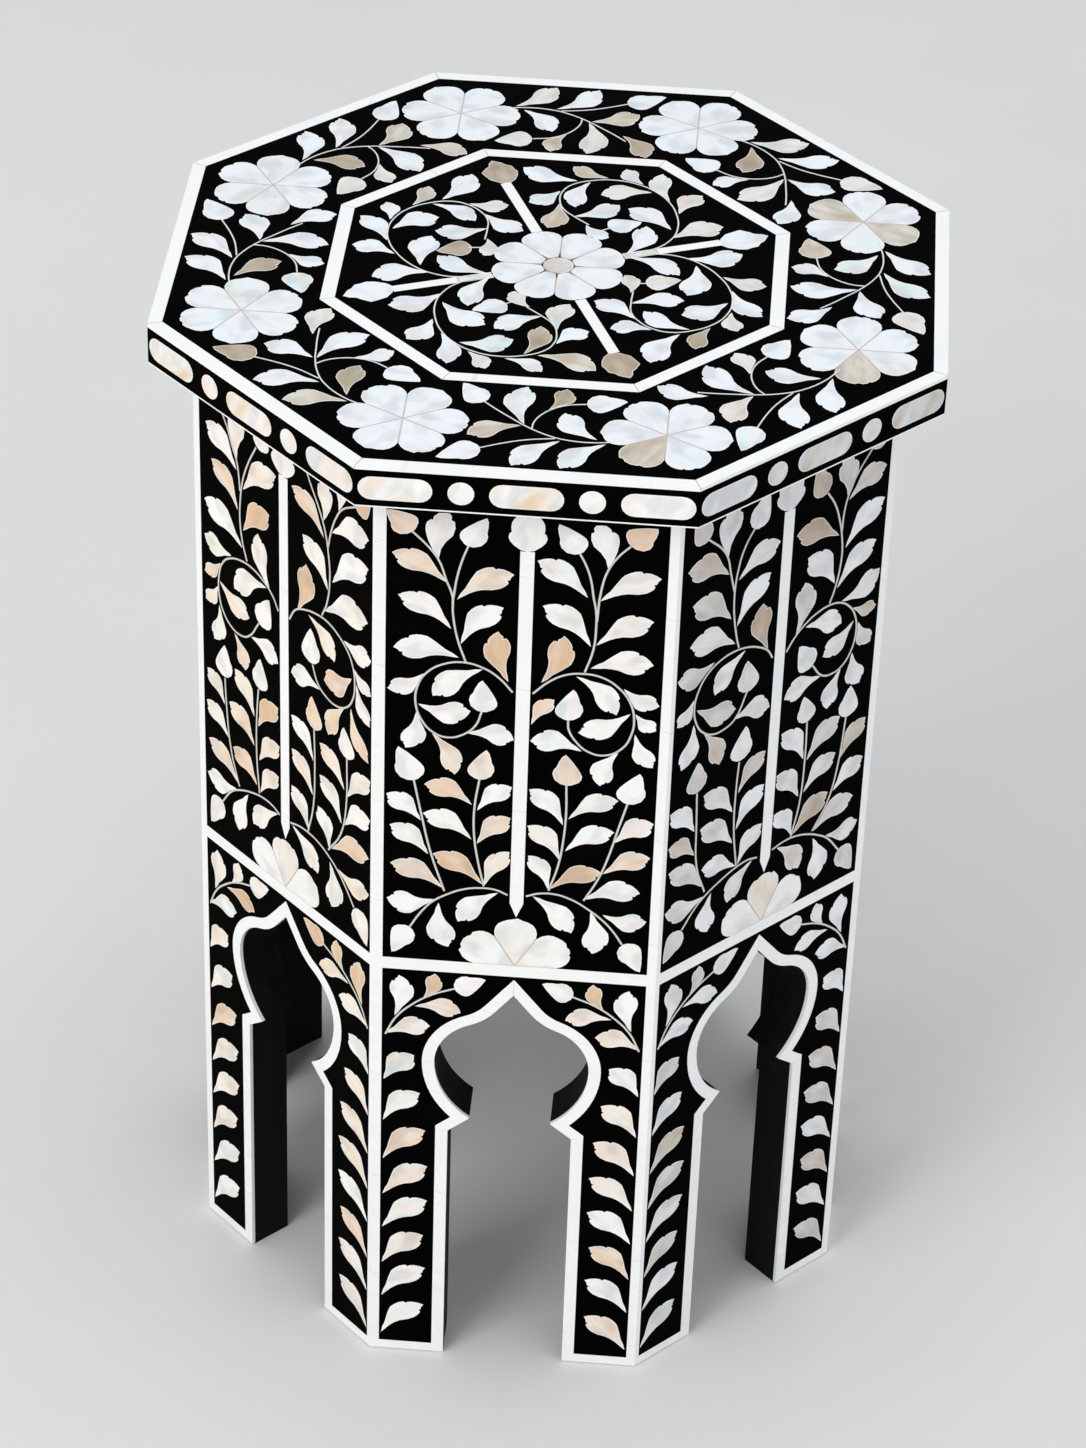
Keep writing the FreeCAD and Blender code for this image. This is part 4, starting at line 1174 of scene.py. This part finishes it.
def strip_material():
    """Shell strips: clean white with soft clouds, faint butt joints and thin mitre lines."""
    material, wires, shader = new_material("strip shell")
    place = wires.place()
    clouds = wires.noise(place, *STRIP_CLOUDS)
    fine = wires.noise(place, *STRIP_GRAIN)
    ground = wires.mix(wires.scaled(fine, *FLECK_MIX), wires.ramp(clouds, STRIP_STOPS), FLECK_GREY)

    # Butt joints between the lengths, a little askew
    x, y, z = wires.split(place)
    wander = wires.scaled(wires.noise(place, *BUTT_WAVES), BUTT_WANDER, z)
    askew = wires.scaled(x, BUTT_SKEW, wander)
    lengths = wires.maths("FRACT", wires.product(askew, LENGTHS_PER_METRE))
    butt = wires.product(wires.maths("LESS_THAN", lengths, BUTT_SHARE), fine)

    # Mitre lines at the corners of the two rings on the top
    radius = wires.maths("SQRT", wires.scaled(x, x, wires.product(y, y)))
    sector = wires.product(wires.maths("ARCTAN2", y, x), SIDES / math.tau)
    aside = wires.maths("ABSOLUTE", wires.maths("SUBTRACT", wires.maths("FRACT", sector), 0.5))
    gap = wires.product(aside, radius, math.tau / SIDES)
    line = wires.maths("LESS_THAN", gap, MITRE_HALF_WIDTH)
    on_rings = wires.maths("GREATER_THAN", radius, RINGS_START)
    level = wires.maths("GREATER_THAN", z, TOP_FACE - MM)
    mitre = wires.product(line, on_rings, level)

    # Greyer short lengths where two of the spokes meet the flower, with a dark joint at their end
    near = wires.maths("LESS_THAN", radius, SHORT_SPOKE_END)
    sideways = wires.maths("GREATER_THAN", wires.maths("ABSOLUTE", x), wires.maths("ABSOLUTE", y))
    short = wires.product(near, sideways, SHORT_SPOKE_STRENGTH)
    worn = wires.mix(short, ground, wires.ramp(fine, SHORT_SPOKE_STOPS))
    seam = wires.maths("COMPARE", radius, SHORT_SPOKE_END, SEAM_HALF_WIDTH)
    lines = wires.maths("MAXIMUM", mitre, wires.product(seam, sideways))
    lined = wires.mix(wires.product(lines, LINE_STRENGTH), worn, LINE_GREY)
    wires.feed(shader["Base Color"], wires.mix(wires.product(butt, BUTT_STRENGTH), lined, BUTT_BROWN))
    wires.feed(shader["Roughness"], wires.scaled(clouds, *STRIP_ROUGHNESS))
    shader["IOR"].default_value = SHELL_IOR
    return material


def resin_material():
    """Black resin: deep, faintly brown in patches, rubbed to a soft gloss."""
    material, wires, shader = new_material("black resin")
    place = wires.place()
    patches = wires.noise(place, *RESIN_PATCHES)
    scuffs = wires.noise(place, *RESIN_SCUFFS)
    wires.feed(shader["Base Color"], wires.ramp(patches, RESIN_STOPS))
    wires.feed(shader["Roughness"], wires.scaled(patches, *RESIN_ROUGHNESS))
    shader["Specular IOR Level"].default_value = RESIN_GLOSS
    wires.feed(shader["Normal"], wires.relief(scuffs, *RESIN_RELIEF))
    return material


def wood_material(name, dark, light, roughness, grain_scale):
    """Painted or stained wood with its grain running up the board."""
    material, wires, shader = new_material(name)
    grain = wires.noise(wires.stretched(wires.place(), WOOD_STRETCH), grain_scale, *WOOD_DETAIL)
    wires.feed(shader["Base Color"], wires.ramp(grain, [(0.3, dark), (0.7, light)]))
    wires.feed(shader["Roughness"], wires.scaled(grain, WOOD_ROUGHNESS_GAIN, roughness))
    shader["Specular IOR Level"].default_value = WOOD_GLOSS
    wires.feed(shader["Normal"], wires.relief(grain, *WOOD_RELIEF))
    return material


def stem_material(name, pale, dark):
    """Stems: pale along the middle and darker along both sides, which is painted shade of the round, a little
    uneven.
    """
    material, wires, shader = new_material(name)
    wear = wires.noise(wires.place(), *STEM_WEAR)
    # Darker towards the sides of the round: painted shade, made a little uneven by the wear pattern
    aside = wires.maths("ADD", wires.attribute("edge"), wires.scaled(wear, *STEM_UNEVEN))
    wires.feed(shader["Base Color"], wires.ramp(aside, [(0.25, pale), (1.0, dark)]))
    wires.feed(shader["Roughness"], wires.scaled(wear, *STEM_ROUGHNESS))
    return material


def floor_material():
    """Plain pale floor."""
    material, wires, shader = new_material("pale floor")
    cloud = wires.noise(wires.place(), *FLOOR_CLOUDS)
    wires.feed(shader["Base Color"], wires.ramp(cloud, FLOOR_STOPS))
    wires.feed(shader["Roughness"], wires.scaled(cloud, *FLOOR_ROUGHNESS))
    return material


# Every shell has its colours by tone, its ground edge, the gain and fineness of its streaks, and its play
side_shell = shell_material("side shell", SIDE_STOPS, (0.96, 0.955, 0.945), 0.6, 0.2, 0.55)
# Warmer copy of the side shell: painted warm key light on the left-hand sides
warm_light_painted_shell = shell_material("side shell with painted warm light", WARM_LIGHT_PAINTED_STOPS, (0.97, 0.955, 0.93), 0.6, 0.2, 0.3)
# Greyer copy of the side shell: painted shade on the right-hand sides
shade_painted_shell = shell_material("side shell with painted shade", SHADE_PAINTED_STOPS, (0.93, 0.935, 0.94), 0.6, 0.2, 0.45)
rim_shell = shell_material("rim shell", SIDE_STOPS, (0.95, 0.94, 0.9), 1.9, 0.1, 0.3)
# Greyer copy of the rim shell: painted shade on the right-hand sides
shade_painted_rim_shell = shell_material("rim shell with painted shade", SHADE_PAINTED_STOPS, (0.93, 0.93, 0.92), 1.4, 0.1, 0.3)
# Copy for the top: its bluer whites carry painted cool skylight
top_shell_painted_skylight = shell_material("top shell with painted skylight", TOP_PAINTED_SKYLIGHT_STOPS, (0.97, 0.975, 0.98), 0.6, 0.2, 0.7)
strip = strip_material()
resin = resin_material()
painted = wood_material("black painted wood", (0.004, 0.004, 0.004), (0.009, 0.0085, 0.008), 0.5, 160.0)
stained = wood_material("dark stained wood", (0.012, 0.008, 0.005), (0.035, 0.023, 0.014), 0.55, 120.0)
# Stems: pale crown, and dark sides that are painted shade
panel_stem = stem_material("panel stem", (0.67, 0.66, 0.62), (0.15, 0.14, 0.125))
top_stem = stem_material("top stem", (0.78, 0.79, 0.78), (0.22, 0.21, 0.2))


def finish_piece(piece, material, *replaced):
    """Give a new piece its finish, and let it ride on the table."""
    piece.data.materials.clear()
    piece.data.materials.append(material)
    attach(piece, "root")
    if replaced:
        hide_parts(*replaced)


def shell_of(side):
    """The shell of one panel: greyer on the right of the table as painted shade, and warmer on its left as
    painted warm light.
    """
    if side in SHADE_PAINTED_SIDES:
        return shade_painted_shell
    if side in WARM_LIGHT_PAINTED_SIDES:
        return warm_light_painted_shell
    return side_shell


# Finishes of the pieces that come from the frame
for name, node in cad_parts.items():
    if name in STRIP_NODES:
        material = strip
    elif "resin" in name:
        material = resin
    elif name.startswith("side_panel") or name == "top_board":
        material = painted
    else:
        material = stained
    node.data.materials.clear()
    node.data.materials.append(material)

# Leaves, buds and stems of the side panels
leg_rows = [(LEG_BASE, base, tip_x, tip, LEG_LEAF_WIDTH) for base, tip_x, tip in LEG_LEAVES]
for side, (layout, warmth) in enumerate(zip(SIDE_LAYOUTS, SIDE_WARMTHS), 1):
    lot = random.Random(side)
    left_field = FIELD_WITH_STRIP if side in STRIP_ON_LEFT else FIELD_WITHOUT_STRIP
    right_field = FIELD_WITH_STRIP if side in STRIP_ON_RIGHT else FIELD_WITHOUT_STRIP
    reading, vine_stems, leaves, buds, trefoils = layout
    place = panel_place(reading, left_field, right_field)
    shapes = leaf_shapes(vine_stems, leaves, buds, trefoils, place, lot, warmth, side in SEEN_SIDES)
    stems = placed(vine_stems, place)
    for half, field, letters in ((-1, left_field, LEFT_LEG_TONES), (1, right_field, RIGHT_LEG_TONES)):
        arch_place = beside_arch(half, field)
        shapes += leaf_shapes(*ARCH_VINE, arch_place, lot, warmth, side == FRONT_SIDE)
        shapes += leaf_shapes(LEG_LINE, toned(leg_rows, letters), [], [], arch_place, lot)
        stems += placed(ARCH_STEMS, arch_place)
    cap_base = (0, CENTRE_TOP / MM)
    cap_tip = (0, CENTRE_TOP / MM + CAP_LENGTH)
    shapes.append(shape(SCALLOP, cap_base, cap_tip, CAP_WIDTH, CAP_TONE, 0))
    upright = on_panel((side - 1) * SIDE_TURN, PANEL_FACE)
    finish_piece(shell_plates(f"panel_leaves_{side}", shapes, PLATE_THICKNESS, upright), shell_of(side))
    finish_piece(stem_lines(f"panel_stems_{side}", stems, PANEL_STEM_RADIUS, upright), panel_stem)

# Leaves, buds and stems of the top
lot = random.Random(TOP_SEED)
shapes = []
stems = []
for side, letters in enumerate(RING_TONES):
    end_leaves, end_buds = ([], [RING_END_BUD]) if side == 0 else ([RING_END_LEAF], [])
    leaves = toned(RING_LEAVES + end_leaves, letters)
    buds = toned(end_buds + RING_BUDS, letters[len(leaves):])
    shapes += leaf_shapes(RING_STEMS, leaves, buds, [], on_sector(side), lot)
    stems += placed(RING_STEMS, on_sector(side))
for quarter, letters in enumerate(QUARTER_TONES):
    leaves = toned(QUARTER_LEAVES, letters)
    buds = toned(QUARTER_BUDS, letters[len(leaves):])
    trefoils = toned(QUARTER_TREFOILS, letters[len(leaves) + len(buds):])
    shapes += leaf_shapes(QUARTER_STEMS, leaves, buds, trefoils, on_quarter(quarter), lot)
    stems += placed(QUARTER_STEMS, on_quarter(quarter))
for angle, (reaches, width, tone) in zip(SPOKE_ANGLES, SPOKE_BUDS):
    base, tip = (turned_point((reach, 0), angle) for reach in reaches)
    shapes.append(shape(SPOKE_BUD, base, tip, width, tone, lot.uniform(*SPOKE_BUD_PLAY), -1))
finish_piece(shell_plates("top_leaves", shapes, PLATE_THICKNESS, on_top()), top_shell_painted_skylight)
finish_piece(stem_lines("top_stems", stems, TOP_STEM_RADIUS, on_top()), top_stem)

# Flowers near the corners of the top
shapes = []
for side in range(SIDES):
    angle = -90 + CORNER_TURN + side * SIDE_TURN
    middle = turned_point((CORNER_FLOWER_REACH, 0), angle)
    lean = CORNER_FLOWER_LEAN if side % 2 == 0 else -CORNER_FLOWER_LEAN
    tones = [lot.choice(CORNER_PETAL_TONES) for petal in range(CORNER_PETALS)]
    for petal in PEACH_PETALS.get(side, ()):
        tones[petal] = PEACH
    shapes += flower_shapes(
        SIX_PETALS, SIX_JOINT, middle, CORNER_FLOWER_LENGTH, angle + lean, SIX_TURN, tones, lot, side
    )
corner_flowers = shell_plates("corner_flower_petals", shapes, PETAL_THICKNESS, on_top())
finish_piece(corner_flowers, top_shell_painted_skylight, "top_flowers")

# Flower in the middle of the top
tones = [lot.uniform(*CENTRE_PETAL_RANGE) for petal in range(SIDES)]
shapes = flower_shapes(
    [EIGHT_PETAL], EIGHT_JOINT, (0, 0), CENTRE_FLOWER_LENGTH, CORNER_TURN, SIDE_TURN, tones, lot
)
eye_turns = [step * math.tau / EYE_STEPS for step in range(EYE_STEPS)]
eye = [(math.cos(turn), math.sin(turn)) for turn in eye_turns]
eye_edge = (CENTRE_EYE_RADIUS, 0)
shapes.append(shape(eye, (0, 0), eye_edge, CENTRE_EYE_RADIUS, CENTRE_EYE_TONE, CENTRE_EYE_PLAY))
centre_flower = shell_plates("centre_flower_petals", shapes, PETAL_THICKNESS, on_top())
finish_piece(centre_flower, top_shell_painted_skylight, "centre_flower")

# Half flowers on the rails
half_flowers = []
for side in range(SIDES):
    tones = [lot.uniform(*tone_range) for tone_range in HALF_PETAL_RANGES]
    shapes = flower_shapes(
        SIX_PETALS, SIX_JOINT, (0, RAIL_HEIGHT), HALF_FLOWER_LENGTH, SIX_TURN / 2, SIX_TURN, tones, lot, side
    )
    upright = on_panel(side * SIDE_TURN, PANEL_FACE)
    half_flowers.append(shell_plates(f"half_flower_petals_{side + 1}", shapes, PETAL_THICKNESS, upright))
bpy.ops.object.select_all(action="DESELECT")
for piece in half_flowers:
    piece.select_set(True)
bpy.context.view_layer.objects.active = half_flowers[0]
bpy.ops.object.join()
half_flowers[0].name = "half_flower_petals"
finish_piece(half_flowers[0], side_shell, "half_flowers")

# Ovals and dots on the rim
for side in range(1, SIDES + 1):
    shapes = [rim_shape(x, RIM_OVAL_LENGTH, RIM_OVAL_HEIGHT, RIM_OVAL_RANGE, lot) for x in RIM_OVAL_PLACES]
    shapes += [rim_shape(x, RIM_DOT_WIDTH, RIM_DOT_WIDTH, RIM_DOT_RANGE, lot) for x in RIM_DOT_PLACES]
    upright = on_panel((side - 1) * SIDE_TURN, RIM_FACE)
    ovals_and_dots = shell_plates(f"rim_ovals_and_dots_{side}", shapes, PLATE_THICKNESS, upright)
    # Rims on the right-hand sides get the copy with painted shade
    finish_piece(ovals_and_dots, shade_painted_rim_shell if side in SHADE_PAINTED_SIDES else rim_shell)

# Floor
bpy.ops.object.select_all(action="DESELECT")
bpy.ops.mesh.primitive_plane_add(size=FLOOR_SIZE)
floor = bpy.context.object
floor.name = "floor"
floor.data.materials.append(floor_material())


# Light
def soft_lamp(name, place, size, power, colour):
    """A square lamp that faces the table."""
    bpy.ops.object.light_add(type="AREA", location=place)
    lamp = bpy.context.object
    lamp.name = name
    lamp.data.size = size
    lamp.data.energy = power
    lamp.data.color = colour
    aim = Vector((0, 0, LAMP_AIM_HEIGHT)) - Vector(place)
    lamp.rotation_euler = aim.to_track_quat("-Z", "Y").to_euler()


soft_lamp("key_lamp", place=(-1.9, -2.5, 2.3), size=1.8, power=56, colour=(1.0, 0.965, 0.92))
soft_lamp("fill_lamp", place=(2.5, -2.0, 1.1), size=1.8, power=9, colour=(0.89, 0.945, 1.0))
soft_lamp("top_lamp", place=(0.2, 0.1, 3.2), size=2.2, power=12, colour=(0.92, 0.97, 1.0))

world = bpy.data.worlds.new("studio")
bpy.context.scene.world = world
world.use_nodes = True
sky = Wiring(world.node_tree)
background = sky.nodes["Background"].inputs
direction = sky.nodes.new("ShaderNodeTexCoord").outputs["Generated"]
sky.feed(background["Color"], sky.ramp(sky.split(direction)[-1], SKY_STOPS))
background["Strength"].default_value = SKY_STRENGTH

# Camera at the photograph's angle
level_right = Vector((math.cos(CAMERA_TURN), math.sin(CAMERA_TURN), 0))
back = Vector((
    math.sin(CAMERA_TURN) * math.cos(CAMERA_RISE),
    -math.cos(CAMERA_TURN) * math.cos(CAMERA_RISE),
    math.sin(CAMERA_RISE),
))
level_up = back.cross(level_right)
right = level_right * math.cos(CAMERA_ROLL) + level_up * math.sin(CAMERA_ROLL)
up = level_up * math.cos(CAMERA_ROLL) - level_right * math.sin(CAMERA_ROLL)
eye_point = Vector((0, 0, TOP_FACE)) + right * CAMERA_ASIDE + up * CAMERA_DOWN + back * CAMERA_DISTANCE
bpy.ops.object.camera_add()
camera = bpy.context.object
camera.data.lens = CAMERA_LENS
camera.matrix_world = Matrix.Translation(eye_point) @ Matrix((right, up, back)).transposed().to_4x4()
bpy.context.scene.camera = camera
bpy.context.scene.view_settings.view_transform = "Standard"
